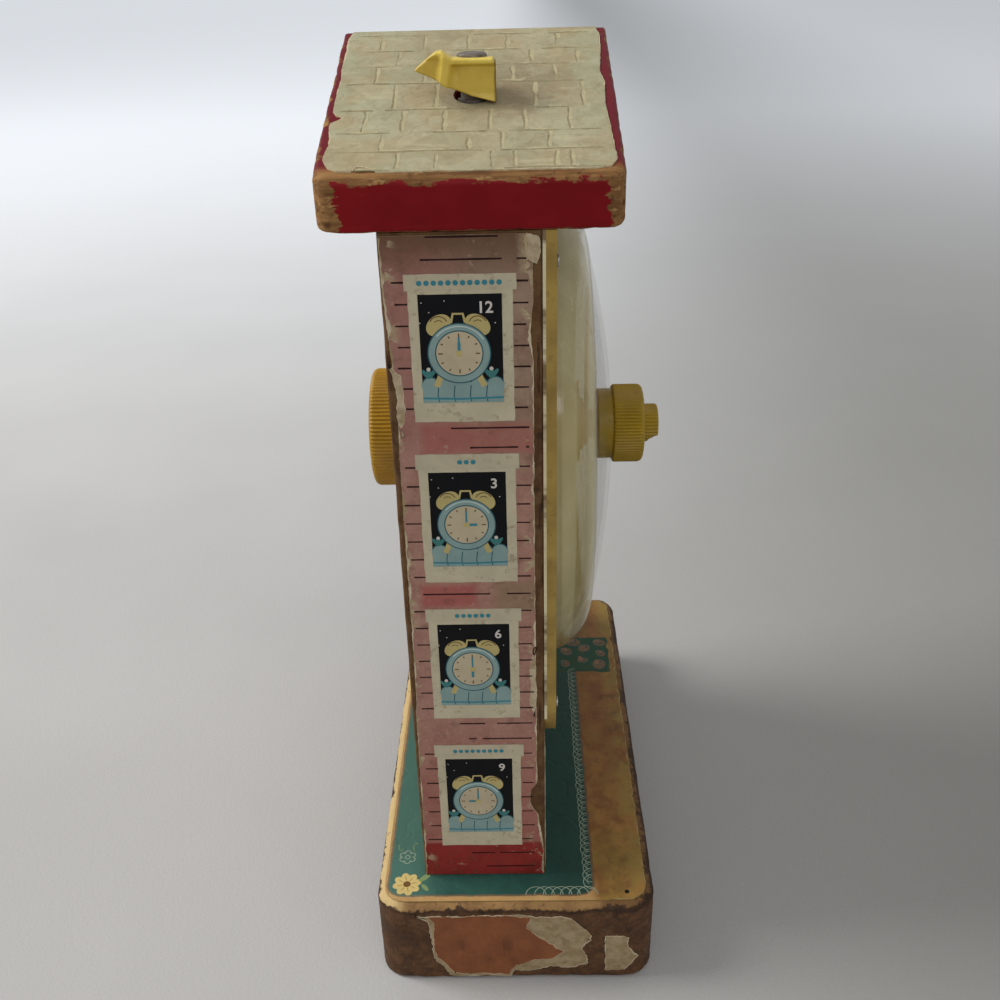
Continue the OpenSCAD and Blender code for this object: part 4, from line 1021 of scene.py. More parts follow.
# Foot and top of each picture's pale frame and of its dark window, and its hour
PANELS = [(190.5, 228.1, 195.7, 223.4, 12), (143, 181.3, 148, 176.3, 3),
          (96, 134, 100.9, 129.1, 6), (45.3, 85.7, 51, 80.5, 9)]
PANEL_Y = (-2.4, 22.6)
WINDOW_Y = (0.2, 20.2)
WINDOW_MID = (WINDOW_Y[0] + WINDOW_Y[1]) / 2


def dash_z(row):
    """Height of a row of dashes; the rows spread a little towards the foot."""
    return 237 - 5.3 * row - 0.0078 * row * row


def clock_picture(sheet, low, high, hour):
    """A table clock on a scalloped cloth between two sprigs, its hands at the given hour."""
    mid = WINDOW_MID + 0.6
    z = low + 12.9
    for k in range(5):
        y = WINDOW_Y[0] + 2 + k * 4
        sheet.disc(y, low + 4.7, 2.25, "pale_blue", 4 + 0.3 * k)
        sheet.loop(y, low + 4.7, 2.1, 0.28, "teal_line", 6.2, 20, 160)
    sheet.box(WINDOW_Y[0], low, WINDOW_Y[1], low + 4.8, "pale_blue", 5.6)
    for k in range(1, 5):
        y = WINDOW_Y[0] + k * 4
        sheet.stroke([(y, low + 4.6), (y + 0.3, low + 2), (y, low + 0.3)], 0.26, "teal_line", 6.4)
    sheet.stroke([(WINDOW_Y[0], low + 1.3), (mid, low + 1.0), (WINDOW_Y[1], low + 1.3)], 0.5, "teal", 6.6)
    for side in (-1, 1):
        bell = mid + side * 4.7
        sheet.stroke([(mid + side * 4.4, z - 5), (mid + side * 5.9, z - 8.6)], 1.5, "blond", 7)
        sheet.disc(bell, z + 7.2, 3.3, "blond", 7.4 + 0.2 * side, 0.74, -side * 36)
        sheet.loop(bell, z + 7.2, 2.2, 0.25, "brown_line", 8, 25, 155)
        sheet.loop(bell, z + 7.2, 1.2, 0.2, "brown_line", 8.2, 40, 140)
        leaf = mid + side * 7.7
        for k, lean in enumerate((52, 90, 128)):
            across, up = polar(1, lean)
            sheet.disc(leaf + 1.2 * across, z - 6.6 + 1.7 * up, 1.5, "teal_leaf", 8.4 + 0.3 * k, 0.36, lean)
        sheet.disc(leaf, z - 4.0, 0.5, "white", 9.6, count=14)
    handle = [(mid - 1.7, z + 7.8), (mid - 1.2, z + 10.0), (mid + 1.2, z + 10.0), (mid + 1.7, z + 7.8)]
    sheet.stroke(handle, 0.6, "blond", 7.2)
    sheet.disc(mid, z, 7.75, "teal_line", 10, count=56)
    sheet.disc(mid, z, 7.45, "pale_blue", 11, count=56)
    sheet.loop(mid, z, 6.9, 0.3, "ring_light", 11.5, 40, 150, count=30)
    sheet.disc(mid, z, 5.9, "teal_line", 12, count=48)
    sheet.disc(mid, z, 5.6, "cream_face", 13, count=48)
    for k in range(12):
        sheet.spoke(mid, z, 4.5 if k % 3 else 4.0, 5.1, 30 * k, 0.32, "brown_line", 14)
    sheet.spoke(mid, z, 0, 4.1, 0, 0.5, "teal", 15)
    sheet.spoke(mid, z, 0, 2.8, -30 * hour, 0.75, "teal", 16)
    sheet.disc(mid, z, 0.8, "blond", 17)
    for u, v in ((8.6, -2.0), (6.9, -4.4), (9.2, -7.0), (-8.9, -7.2), (3.1, -1.6)):
        sheet.disc(mid + u, high + v, 0.16, "white", 4, count=8)


def side_pictures(sheet, seed):
    """Dashes beside and between the pictures, and the pictures in their frames."""
    for row in range(DASH_ROWS):
        z = dash_z(row)
        ends = [hum(row * 3.1, k * 7.7, seed) for k in range(4)]
        short = [(26.2 + 1.4 * ends[0], 22.2 + ends[1]), (-2.1 + 1.3 * ends[2], -6.1 + 0.9 * ends[3])]
        for rear, front in LONG_DASHES.get(row, short):
            sheet.box(front, z - 0.21, rear, z + 0.24, "dash", 1, 0.07)
    for foot, top, low, high, hour in PANELS:
        sheet.box(PANEL_Y[0], foot, PANEL_Y[1], top - 0.4, "frame", 2, 0.22)
        sheet.box(PANEL_Y[0] - 0.9, high + 0.9, PANEL_Y[1] + 0.7, top + 0.2, "strip", 3.5, 0.2)
        sheet.box(WINDOW_Y[0], low, WINDOW_Y[1], high, "black", 3, 0.05)
        clock_picture(sheet, low, high, hour)
        number = str(hour)
        sheet.numeral(number, WINDOW_Y[0] + 2.5 + 0.6 * len(number), high - 3.2, 2.9, "white", 18, -1)
        for k in range(hour):
            spot = WINDOW_MID + (k - (hour - 1) / 2) * 1.72
            sheet.disc(spot, (high + top) / 2 + 0.4, 0.66, "teal", 5, count=18)


# Bare paper core where the side print has peeled, for the left side, -1, and the right side, 1
TORN_PATCHES = {
    -1: [[(-9.0, 237.5), (-9.2, 233), (-8.2, 230.2), (-6.6, 231), (-5.4, 233), (-4.9, 236), (-5.6, 238)],
         [(-7.0, 121), (-7.6, 104), (-6.6, 96), (-5.2, 101), (-4.9, 110), (-5.6, 118)],
         [(28.4, 206), (27.0, 199), (27.4, 190), (25.9, 186), (24.6, 194), (25.2, 203)]],
    1: [[(-9.1, 214), (-8.8, 203), (-6.6, 199), (-5.4, 206), (-6.4, 213)],
        [(28.2, 90), (28.0, 74), (26.1, 70), (25.0, 79), (26.2, 88)]]}


def side_papers(prints, core):
    """Torn prints of both side boards."""
    foot, top = BOARD_LO[2] + 0.6, BOARD_TOP - 0.6
    rear = [(28.5, foot), (28.3, 50), (28.0, 98), (27.5, 105), (27.4, 180), (26.8, 192), (25.9, 197),
            (27.4, 203), (27.9, 212), (28.6, 225), (28.7, top)]
    front = [(-7.0, top), (-7.4, 222), (-6.6, 214), (-7.3, 206), (-7.2, 140), (-7.4, 71), (-5.6, 68),
             (-5.1, 63.5), (-6.2, 60), (-7.6, 58), (-8.4, 51), (-9.2, 45), (-9.2, foot)]

    def cut(loop):
        return (loop[:, 1] > top - 0.4) | (loop[:, 1] < foot + 0.4)

    def mirrored(y, z, lift):
        return on_right(PANEL_Y[0] + PANEL_Y[1] - y, z, lift)

    for side, name, face, picture_face in ((-1, "left_side_", on_left, on_left),
                                           (1, "right_side_", on_right, mirrored)):
        def lifted(y, z, lift):
            return face(y, z, lift + 0.02)

        node = name + "paper"
        torn_sheet("printed_" + node, rear + front, face, prints[side], 0.24, 1.2,
                   20 + side, straight=cut, replaces=[node])
        for k, patch in enumerate(TORN_PATCHES[side]):
            torn_sheet("%s_core_%d" % (node, k + 1), patch, lifted, core, 0.5, 0.4,
                       24 + 3 * k + side)
        sheet = Print(name + "pictures", picture_face)
        side_pictures(sheet, 3 * side)
        sheet.finish("printed_paper")


# Roof print: courses of stones

COURSES = (-71.2, -63.4, -54.8, -43.9, -30.5, -21.1, -12.4, -3.2)
# Joints of the left slope's lowest courses, from the rear to the front. The others follow a rule
JOINTS = ((23.9, 15.0, 2.1, -3.1, -12.7, -16.1), (28.1, 7.7, -0.1, -11.2), (33, 23.8, 13.8, 2.8, -5.6, -16.5))
# Radius of the roof print's hole round the bird's post
PRINT_HOLE_R = 4.9


def course_line(sheet, side, k, x, line_y):
    """A worn line between two courses, with a light line above it."""
    wave = ripple([(y, 40 * k, side) for y in line_y], 9, 2)
    parts = np.where(wave > -0.24)[0]
    for run in np.split(parts, np.where(np.diff(parts) > 1)[0] + 1):
        middle = run[len(run) // 4: len(run) * 3 // 4]
        for part, up, *look in ((run, 0, 0.46, "joint", 1), (middle, 0.6, 0.6, "joint_light", 1.3)):
            if len(part) > 3:
                path = np.column_stack([-side * (x + up + wave[part] * 0.5), line_y[part]])
                sheet.stroke(path, *look, 0.9)


def roof_papers(finish):
    """Stone print of both slopes, torn at the eave, with its joints drawn."""
    edge_x = EAVE_X - 2
    rear, front = SLAB_HI[1] - 1.2, SLAB_LO[1] + 1.6
    left = [(0, rear - 1.4), (-4, rear - 0.3), (-44, rear - 0.6), (-46.5, rear - 1.6), (-46.9, rear - 3.0),
            (-47.9, rear - 2.2), (-49.5, rear - 0.4), (-60, rear - 1.4), (-66, rear - 0.6), (-70.2, 39.4),
            (-71.6, 36.5), (-71.4, 33.6), (-69.6, 32.8), (-69.9, 30.8), (-70.8, 29.2), (-edge_x, 28.0),
            (-edge_x, -22), (-71.2, -25.4), (-68.0, -26.9), (-60, -26.6), (-42, -25.8), (-31.5, -26.4),
            (-26, -25.6), (-4, front), (0, front + 1.2)]
    right = [(0, front + 1.2), (5, front), (edge_x - 3, front), (edge_x, front + 3), (edge_x, rear - 4),
             (edge_x - 4, rear), (3, rear), (0, rear - 1.4)]

    def ridge(loop):
        return np.abs(loop[:, 0]) < 0.3

    for name, outline, seed, hole in (("roof_print_left", left, 31, ring(PRINT_HOLE_R, 40, POST_X, POST_Y)),
                                      ("roof_print_right", right, 32, None)):
        torn_sheet(name, outline, on_roof, finish, 0.28, 1.1, seed, hole=hole, straight=ridge,
                   replaces=["roof_paper"])
    sheet = Print("roof_stones", on_roof)
    line_y = np.arange(front + 3.2, rear - 2.2, 1.0)
    for side in (-1, 1):
        for k, x in enumerate(COURSES):
            course_line(sheet, side, k, x, line_y)
            if k == len(COURSES) - 1:
                continue
            joints = [32 - 11.5 * i - 5 * (k % 2) + 2.5 * hum(i * 2.3, k * 5.1, side) for i in range(5)]
            if side < 0 and k < len(JOINTS):
                joints = JOINTS[k]
            for y in joints:
                if abs(y - POST_Y) < 6 and -45 < x < -28:
                    continue
                length = COURSES[k + 1] - x - 1.2
                path = np.array([(-side * (x + 0.6 + length * t), y + 0.35 * hum(t * 2, y, k))
                                 for t in np.linspace(0, 1, 9)])
                sheet.stroke(path, 0.42, "joint", 1.6, 0.9)
                sheet.stroke(path + [0, -0.65], 0.7, "joint_light", 1.9, 0.9)
    sheet.finish("roof_paper")


# Base print: border, lace and flowers

def daisy(sheet, u, v, radius):
    """A flower with eight petals, each with a line along it."""
    for k in range(8):
        angle = 45 * k + 12
        sheet.disc(*polar(radius * 0.6, angle, u, v), radius * 0.44, "daisy", 2 + 0.25 * (k % 3), 0.72, angle)
        line = [polar(radius * share, angle, u, v) for share in (0.35, 0.7)]
        sheet.stroke(line, 0.16, "daisy_heart", 3)
    sheet.disc(u, v, radius * 0.27, "daisy_heart", 4)


def end_flowers(sheet, end):
    """A daisy with leaves and a lace flower at one end of the rear border."""
    x = end * (BASE_HI[0] - 9.2)
    daisy(sheet, x, 34.4, 4.4)
    sheet.disc(x - end * 2.6, 28.9, 2.2, "leaf_light", 2, 0.42, 50 * end)
    sheet.disc(x + end * 1.4, 28.6, 1.7, "leaf_light", 2.4, 0.42, -40 * end)
    x -= end * 11.2
    for k in range(6):
        turn = 60 * k
        sheet.loop(*polar(1.7, turn, x, 35.1), 1.0, 0.34, "lace", 2 + 0.2 * (k % 2), turn - 110, turn + 110)
    sheet.loop(x, 35.1, 0.75, 0.32, "lace", 2.6)
    for k in (-1, 1):
        sheet.loop(x - end * 4.4, 35.1 + k * 2.4, 1.5, 0.26, "leaf_light", 2.8, 40 * k, 40 * k + 200, 0.55)


def lace_border(sheet):
    """Scallops along the front of the case and up both ends of the base."""
    pitch = 2.7
    for k in range(int((2 * HALF_W + 10) / pitch)):
        x = -(HALF_W + 5) + (k + 0.5) * pitch
        if 33 < x < 56:
            continue
        jitter = hum(k * 1.3, 0, 5)
        width = pitch * (1.02 + 0.12 * jitter)
        sheet.loop(x, -24.3, width, 0.24, "lace", 2 + 0.3 * (k % 3), 0, 180, 1.0 + 0.15 * jitter)
        sheet.loop(x + 0.4, -24.2, pitch * 0.52, 0.18, "lace", 3, 0, 150 + 30 * jitter, 1.1)
    for k in range(7):
        y = -22.6 + k * pitch
        for end, start in ((-1, -90), (1, 90)):
            x = end * (BASE_HI[0] - 4.6)
            sheet.loop(x, y, pitch * 1.15, 0.26, "lace", 2 + 0.3 * (k % 3), start, start + 180)


# Flowers of the garland at the front right of the base
GARLAND = ((37, -20.8), (45.5, -21.5), (51.8, -24.5), (39.5, -28), (47.6, -29), (36.5, -34.5), (43.8, -35.6),
           (51.4, -35.5))


def base_papers(finish):
    """Torn print of the base's top with its ornaments."""
    low, high = BASE_LO + 2.4, BASE_HI - 2.4
    corner = BASE_CORNER - 2.4
    outline = []
    for start, x, y in ((0, high[0] - corner, high[1] - corner), (90, low[0] + corner, high[1] - corner),
                        (180, low[0] + corner, low[1] + corner), (270, high[0] - corner, low[1] + corner)):
        outline += arc((x, y), corner, start, start + 90)

    def rear_side(loop):
        return (loop[:, 1] > low[1] + 12) & (loop[:, 0] < high[0] - 3)

    torn_sheet("printed_base_paper", outline, on_base, finish, 0.6, 1.0, 41, straight=rear_side,
               replaces=["base_paper"])
    sheet = Print("base_ornaments", on_base)
    end_flowers(sheet, -1)
    end_flowers(sheet, 1)
    lace_border(sheet)
    sheet.box(31.5, -38.8, 55, -16.6, "meadow", 1, 0.9)
    for k, (u, v) in enumerate(GARLAND):
        size = 0.5 * (k % 3)
        sheet.disc(u, v, 2.3 + size, "rose", 2 + 0.15 * (k % 4), 0.8, 35 * k)
        sheet.disc(u + 1.2, v + 0.8, 1.4, "rose_light", 2.7, 0.7, 70 * k)
        sheet.loop(u, v, 2.7 + size, 0.5, "garland_line", 3, 40 * k, 40 * k + 240)
        sheet.loop(u + 0.5, v, 1.2, 0.4, "garland_line", 3.3, 60 * k, 60 * k + 200)
        sheet.stroke([(u + 2.4, v - 1.4), (u + 3.4, v - 2.2), (u + 4.2, v - 1.8)], 0.4, "garland_line", 3.6)
    sheet.disc(NEAR_END + 5.6, -34.9, 0.75, "base_black", 2)
    sheet.finish("base_paper")


# What is left of the labels on the base's left end: the core, the print over it and a patch at the corner
LABEL_CORE = [
    (31.9, 28.6), (27.6, 25.7), (27.0, 16.1), (26.7, 9.0), (23.5, 5.4), (21.6, 0.9), (11.1, 0.6), (1.8, 0.5),
    (0.2, 2.9), (-5.0, 3.3), (-11.8, 5.0), (-16.7, 4.1), (-23.4, 5.4), (-23.0, 10.0), (-22.0, 13.5),
    (-24.3, 17.0), (-23.9, 20.0), (-20.1, 23.9), (-17.7, 26.9), (-14.1, 28.2), (-10.0, 27.9), (-5.2, 29.0)]
LABEL_PRINT = [
    (27.5, 28.3), (25.9, 24.8), (26.6, 17.9), (25.8, 9.9), (22.6, 6.3), (20.3, 1.7), (10.4, 1.6), (2.1, 1.2),
    (0.2, 5.6), (-6.3, 8.2), (-11.8, 8.6), (-15.4, 12.2), (-11.8, 15.7), (-7.0, 19.3), (-4.0, 23.2),
    (-5.2, 27.9), (3.7, 28.9)]
LABEL_CORNER = [
    (-27.7, 19.1), (-33.4, 19.4), (-35.8, 18.1), (-35.3, 15.5), (-37.0, 11.9), (-39.2, 8.8), (-34.5, 3.4),
    (-28.1, 3.0)]


def end_labels(white, orange):
    """The torn labels, their core bent round the base's corner."""
    def above_core(y, z, lift):
        return on_end(y, z, lift + 0.14)

    bends = [((y, 0), (1, 0)) for y in np.arange(-41, -34, 0.8)]
    torn_sheet("label_core", LABEL_CORE, on_end, white, 0.75, 0.7, 51, bends,
               thickness=0.16)
    torn_sheet("label_print", LABEL_PRINT, above_core, orange, 0.6, 0.5, 52,
               thickness=0.1)
    torn_sheet("label_corner", LABEL_CORNER, on_end, white, 0.6, 0.7, 53, bends,
               thickness=0.16)


def front_paper(finish):
    """Paper of the front board below the dial frame, with its dashes."""
    low, high = FRONT_LO, FRONT_HI
    outline = [(low[0], low[2]), (high[0], low[2]), (high[0], high[2]), (low[0], high[2])]
    torn_sheet("printed_front_paper", outline, on_front, finish, 0.3, 0.8, 61,
               replaces=["front_paper"])
    sheet = Print("front_dashes", on_front)
    pitch = 5.6
    for row in range(int((high[2] - low[2] - 2) / pitch)):
        z = high[2] - 2.6 - pitch * row
        x = low[0] + 6 + 9 * (row % 2)
        while x < high[0] - 14:
            length = 9 + 4 * hum(x * 0.37, row, 0)
            sheet.box(x, z - 0.2, x + length, z + 0.25, "dash", 1, 0.06)
            x += length + 11 + 4 * hum(row, x * 0.21, 3)
    sheet.finish("printed_paper")


def dial_print():
    """Plain numbers, minute marks and rings of the dial."""
    sheet = Print("dial_numbers", on_card, 0.0)
    for radius in (63.5, 57.2):
        sheet.loop(0, AXIS_Z, radius, 0.5, "dial_teal", count=120)
    for k in range(60):
        near, width = (60.2, 0.45) if k % 5 else (58.4, 1.1)
        sheet.spoke(0, AXIS_Z, near, 62.6, 6 * k, width, "dial_black")
    for hour in range(1, 13):
        sheet.numeral(str(hour), *polar(49, 90 - 30 * hour, 0, AXIS_Z), 8.2, "dial_black")
    sheet.loop(0, AXIS_Z, 39.5, 0.35, "dial_orange", count=100)
    sheet.finish("dial_card")


# Dome, knobs and bird

# Steps round each turned piece, and the ridges of the grips
DOME_STEPS = 160
KNOB_STEPS, KNOB_RIDGES = 576, 72
TIP_STEPS, TIP_RIDGES = 300, 30
WIND_STEPS, WIND_RIDGES = 768, 96
POST_STEPS = 64
# How far the front knob's neck reaches before its head begins
NECK = 4.9


def dome_line(radius, depth):
    """A shallow front that turns down over a shoulder, as radius and height."""
    crown, turn = 2.95 * radius, 0.764 * radius
    front = [(r, depth - crown + math.sqrt(crown ** 2 - r ** 2)) for r in np.linspace(KNOB_HOLE, turn, 22)]
    a, b, c = np.array([front[-1], (0.95 * radius, front[-1][1] - 0.07 * depth), (radius, 0.0)])
    bend = [(1 - t) ** 2 * a + 2 * t * (1 - t) * b + t * t * c for t in np.linspace(0, 1, 26)[1:]]
    return front + [tuple(spot) for spot in bend]


def dome(finish):
    """Clear dome with an even wall, seated in the frame's window."""
    outer = dome_line(DOME_R, DOME_DEPTH)
    inner = dome_line(SEAT_R - DOME_WALL, DOME_DEPTH - DOME_WALL)
    card = FRAME_FRONT - CARD_LO[1]
    seat = [(DOME_R - 0.2, 0.0), (SEAT_R, 0.0), (SEAT_R, card), (SEAT_R - DOME_WALL, card)]
    line = [(FRAME_FRONT - z, r) for r, z in outer + seat + inner[::-1]]
    turned("milky_dome", line, DOME_STEPS, finish, ["clear_dome"], closed=True)


def ridged(count, depth, seed, profile):
    """Radius of a ridged grip; a profile's third values give each ring's share of the ridges' depth."""
    def shape(turn, k, radius):
        wave = 0.5 + 0.5 * np.cos(turn * count)
        dent = np.array([hum(math.cos(t) * 2, math.sin(t) * 2, k * 0.05 + seed) for t in turn])
        return radius - (depth * wave ** 1.4 + 0.06 * np.abs(dent)) * profile[k][2]
    return shape


def front_knob(finish):
    """Ridged knob with a bright worn rim, on a neck that passes through the dome."""
    back, front = KNOB_HI[1], KNOB_LO[1]
    head = back - NECK
    radius = (KNOB_HI[2] - KNOB_LO[2]) / 2
    bore = ARBOR_D / 2 + 0.4
    neck = KNOB_HOLE - 0.25
    line = [(back, bore, 0), (back, neck - 0.4, 0), (back - 0.4, neck, 0), (head, neck, 0),
            (head, radius - 0.7, 0.3), (head - 0.4, radius - 0.1, 0.8)]
    line += [(y, radius, 1) for y in np.linspace(head - 0.8, front + 2.0, 8)]
    line += [(front + 1.5, radius - 0.02, 0.9), (front + 1.0, radius - 0.16, 0.6),
             (front + 0.5, radius - 0.45, 0.25), (front + 0.15, radius - 0.9, 0.05),
             (front, radius - 1.5, 0), (front + 0.05, radius - 2.3, 0),
             (front + 0.5, radius - 3.0, 0), (front + 0.6, radius - 3.8, 0), (front + 0.6, 7.2, 0),
             (front + 0.1, 6.8, 0), (front, bore, 0)]
    turned("ridged_front_knob", line, KNOB_STEPS, finish, ["front_knob"], "minute",
           ridged(KNOB_RIDGES, 0.42, 1, line), closed=True)


def knob_tip(finish):
    """Small ridged tip whose lower outer corner has broken away."""
    back, front = TIP_HI[1], TIP_LO[1]
    radius = (TIP_HI[2] - TIP_LO[2]) / 2
    line = [(back, radius - 0.2, 0.4), (back - 0.2, radius, 1)]
    line += [(y, radius, 1) for y in np.linspace(back - 0.5, front + 0.8, 11)]
    line += [(front + 0.42, radius - 0.12, 0.7), (front + 0.12, radius - 0.45, 0.3), (front, radius - 1.0, 0),
             (front, radius - 2.0, 0), (front + 0.25, radius - 2.5, 0), (front + 0.25, 1.0, 0)]
    grip = ridged(TIP_RIDGES, 0.42, 3, line)

    def shape(turn, k, ring_radius):
        near = np.clip((back - line[k][0]) / (back - front) - 0.3, 0, 1) / 0.7
        below = np.clip(-np.sin(turn) - 0.35, 0, 1) / 0.65
        jag = np.array([hum(math.cos(t) * 3, math.sin(t) * 3, k * 0.4) for t in turn])
        chip = near ** 1.1 * below ** 0.9 * (3.6 + jag * 0.9)
        return np.clip(np.minimum(grip(turn, k, ring_radius), radius - chip), 0.8, None)

    turned("broken_knob_tip", line, TIP_STEPS, finish, ["knob_tip"], "minute", shape)


def winding_knob(finish):
    """Wide ridged key knob behind the case."""
    front, back = WIND_LO[1], WIND_HI[1]
    radius = (WIND_HI[2] - WIND_LO[2]) / 2
    line = [(front + 9, 2.6, 0), (front + 0.6, 2.6, 0), (front, 3.2, 0), (front, radius - 1.0, 0.2),
            (front + 0.3, radius - 0.4, 0.7), (front + 0.8, radius, 1)]
    line += [(y, radius, 1) for y in np.linspace(front + 1.6, back - 2.2, 8)]
    line += [(back - 1.5, radius - 0.02, 0.9), (back - 0.95, radius - 0.18, 0.55),
             (back - 0.4, radius - 0.55, 0.2), (back - 0.1, radius - 1.1, 0), (back, radius - 1.9, 0),
             (back, radius - 3.2, 0),
             (back - 0.8, radius - 4.0, 0), (back - 0.9, 6, 0), (back - 0.5, 5.2, 0), (back - 0.5, 0.6, 0)]
    turned("ridged_winding_knob", line, WIND_STEPS, finish, ["winding_knob"], "winding",
           ridged(WIND_RIDGES, 0.45, 5, line))


# Outline of the bird from the left side, from its post: towards the rear, then up. The first ten places
# are its tail, back, head and beak, and the others run back along its breast and underside
BIRD_OUTLINE = [
    (-5.9, -0.9), (-5.9, 8.3), (-5.2, 9.1), (4.6, 9.2), (5.8, 9.9), (7.2, 10.9), (8.6, 10.7), (11, 9),
    (13.4, 7.2), (13.8, 6.5), (13.2, 6.2), (10.6, 5.2), (8.3, 4.1), (6.8, 2.9), (3.4, 1.8), (0, 0.5)]
BEAK = 9
# Heights over the roof of the hub's foot and top, and how far the post's collar starts below its face
HUB_FOOT, HUB_TOP = 2.3, 8.7
COLLAR_DROP = 1.6


def edge_distance(spots, outline):
    """Distance from each place to a closed outline."""
    best = np.full(len(spots), np.inf)
    for a, b in zip(outline, np.roll(outline, -1, 0)):
        along = b - a
        t = np.clip(((spots - a) @ along) / (along @ along), 0, 1)
        best = np.minimum(best, np.hypot(*(spots - a - t[:, None] * along).T))
    return best


def soft_step(value, low, high):
    """Goes smoothly from 0 at low to 1 at high."""
    t = np.clip((value - low) / (high - low), 0, 1)
    return t * t * (3 - 2 * t)


def bird(finish):
    """Flat moulded bird with sunken wings, a ridge at its neck and a hub round the post."""
    outline = np.array(BIRD_OUTLINE, float)
    across = np.linspace(outline[0, 0], outline[BEAK, 0], 120)
    upper = outline[1:BEAK + 1]
    lower = np.concatenate([outline[:1], outline[:BEAK - 1:-1]])
    top = np.interp(across, *upper.T)
    low = np.interp(across, *lower.T)
    share = np.linspace(0, 1, 56)
    grid = np.array([(u, low[i] + (top[i] - low[i]) * t) for i, u in enumerate(across) for t in share])
    u, v = grid.T
    near_edge = np.clip(BIRD_ROUND - edge_distance(grid, outline), 0, BIRD_ROUND)
    rounding = BIRD_ROUND - np.sqrt(np.clip(BIRD_ROUND ** 2 - near_edge ** 2, 0, None))
    ridge_u = 6.4 - 0.16 * (v - 7)
    wing = soft_step(v, -2.0, 1.5) * (1 - soft_step(v, 7.3, 8.2))
    wing = wing * (1 - soft_step(u, ridge_u - 2.2, ridge_u - 0.7))
    groove = np.exp(-((u - 3.6) / 0.75) ** 2 - ((v - 6.0) / 1.5) ** 2)
    head = soft_step(u, ridge_u + 0.5, ridge_u + 2.4)
    brow = soft_step(v, 8.6, 10.2) * soft_step(u, 6, 8)
    tail = soft_step(-u, 4.9, 5.6)
    inset = rounding + 1.15 * wing + 0.45 * groove + 1.35 * head * (1 - 0.5 * brow) + 0.3 * tail
    inset += 0.06 * ripple(grid, 2.2, 71)
    halves = []
    for side in (-1, 1):
        x = BIRD_MID_X + side * (BIRD_THK / 2 - inset)
        halves.append(places(x, POST_Y + u, np.maximum(roof_z(POST_X) + v, roof_z(x) + BIRD_GAP)))
    count = len(grid)
    index = np.arange(count).reshape(len(across), len(share))
    quads = np.stack([index[:-1, :-1], index[1:, :-1], index[1:, 1:], index[:-1, 1:]], 2).reshape(-1, 4)
    border = [*index[:, 0], *index[-1, 1:], *index[-2::-1, -1], *index[0, -2:0:-1]]
    faces = [*quads[:, ::-1], *(quads + count)]
    faces += [(a, b, b + count, a + count) for a, b in zip(border, border[1:] + border[:1])]
    sunken = np.tile(np.clip(0.9 * wing + head - 0.6 * brow + groove, 0, 1), 2)
    piece = new_piece("moulded_bird", np.concatenate(halves), faces, [finish], ["bird"],
                      "bird", fields={"sunken": sunken})
    outward(piece)
    foot, top = roof_z(POST_X) + HUB_FOOT, roof_z(POST_X) + HUB_TOP
    line = [(foot, 3.05), (foot, 3.9), (foot + 0.3, 4.2), (top - 0.4, 4.2), (top, 3.9), (top, 3.05)]
    turned("bird_hub", line, POST_STEPS, finish, (), "bird", post=True)


def bird_post(finish):
    """Post with a worn flat head, and the collar that stands on the bushing."""
    bottom, top = POST_LO[2], POST_HI[2]
    collar = roof_z(POST_X) - COLLAR_DROP
    line = [(bottom, 2.4), (bottom + 0.4, 3.0), (collar, 3.0), (collar, 3.8), (collar + 1, 3.8),
            (collar + 1, 3.0), (top - 1.25, 3.0), (top - 1.2, 3.55), (top - 1.0, 3.75), (top - 0.5, 3.7),
            (top - 0.2, 3.35), (top - 0.06, 2.7), (top, 1.7), (top - 0.03, 0.6)]
    turned("worn_bird_post", line, POST_STEPS, finish, ["bird_post"], "bird", post=True, dent=0.06)


# CAD nodes that keep their mesh

def dress(node, finish, radius):
    """Softens a CAD node's edges and gives it its finish."""
    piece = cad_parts[node]
    piece.data.materials.clear()
    piece.data.materials.append(finish)
    piece.modifiers.new("weld", "WELD").merge_threshold = 1e-6
    flat = piece.modifiers.new("flat", "DECIMATE")
    flat.decimate_type = "DISSOLVE"
    flat.angle_limit = math.radians(1)
    bevel = piece.modifiers.new("soft_edges", "BEVEL")
    bevel.width = radius * MM
    bevel.segments = 2
    bevel.limit_method = "ANGLE"
    bevel.angle_limit = math.radians(35)
    bevel.use_clamp_overlap = True


# Floor, light and camera

# Half the floor's width and its height, just below the base, in millimetres
FLOOR_REACH = 14000
FLOOR_Z = -0.3
# Name, place, aim, width and power of each lamp, in metres and watts
LAMPS = [("key", (0.15, 1.45, 1.45), (0, 0, 0.12), 0.9, 30),
         ("fill", (-1.6, -0.2, 1.3), (0, 0, 0.12), 1.6, 7),
         ("glint", (-0.93, -1.0, 0.79), (0, 0, 0.156), 0.16, 0.6)]
# Camera, worked out from the photograph
EYE = (-321.1, -3.6, 300.6)
AHEAD = (0.88138, 0.01939, -0.47200)
UP = (0.47230, -0.01523, 0.88131)
LENS = 38.845
SENSOR = 36


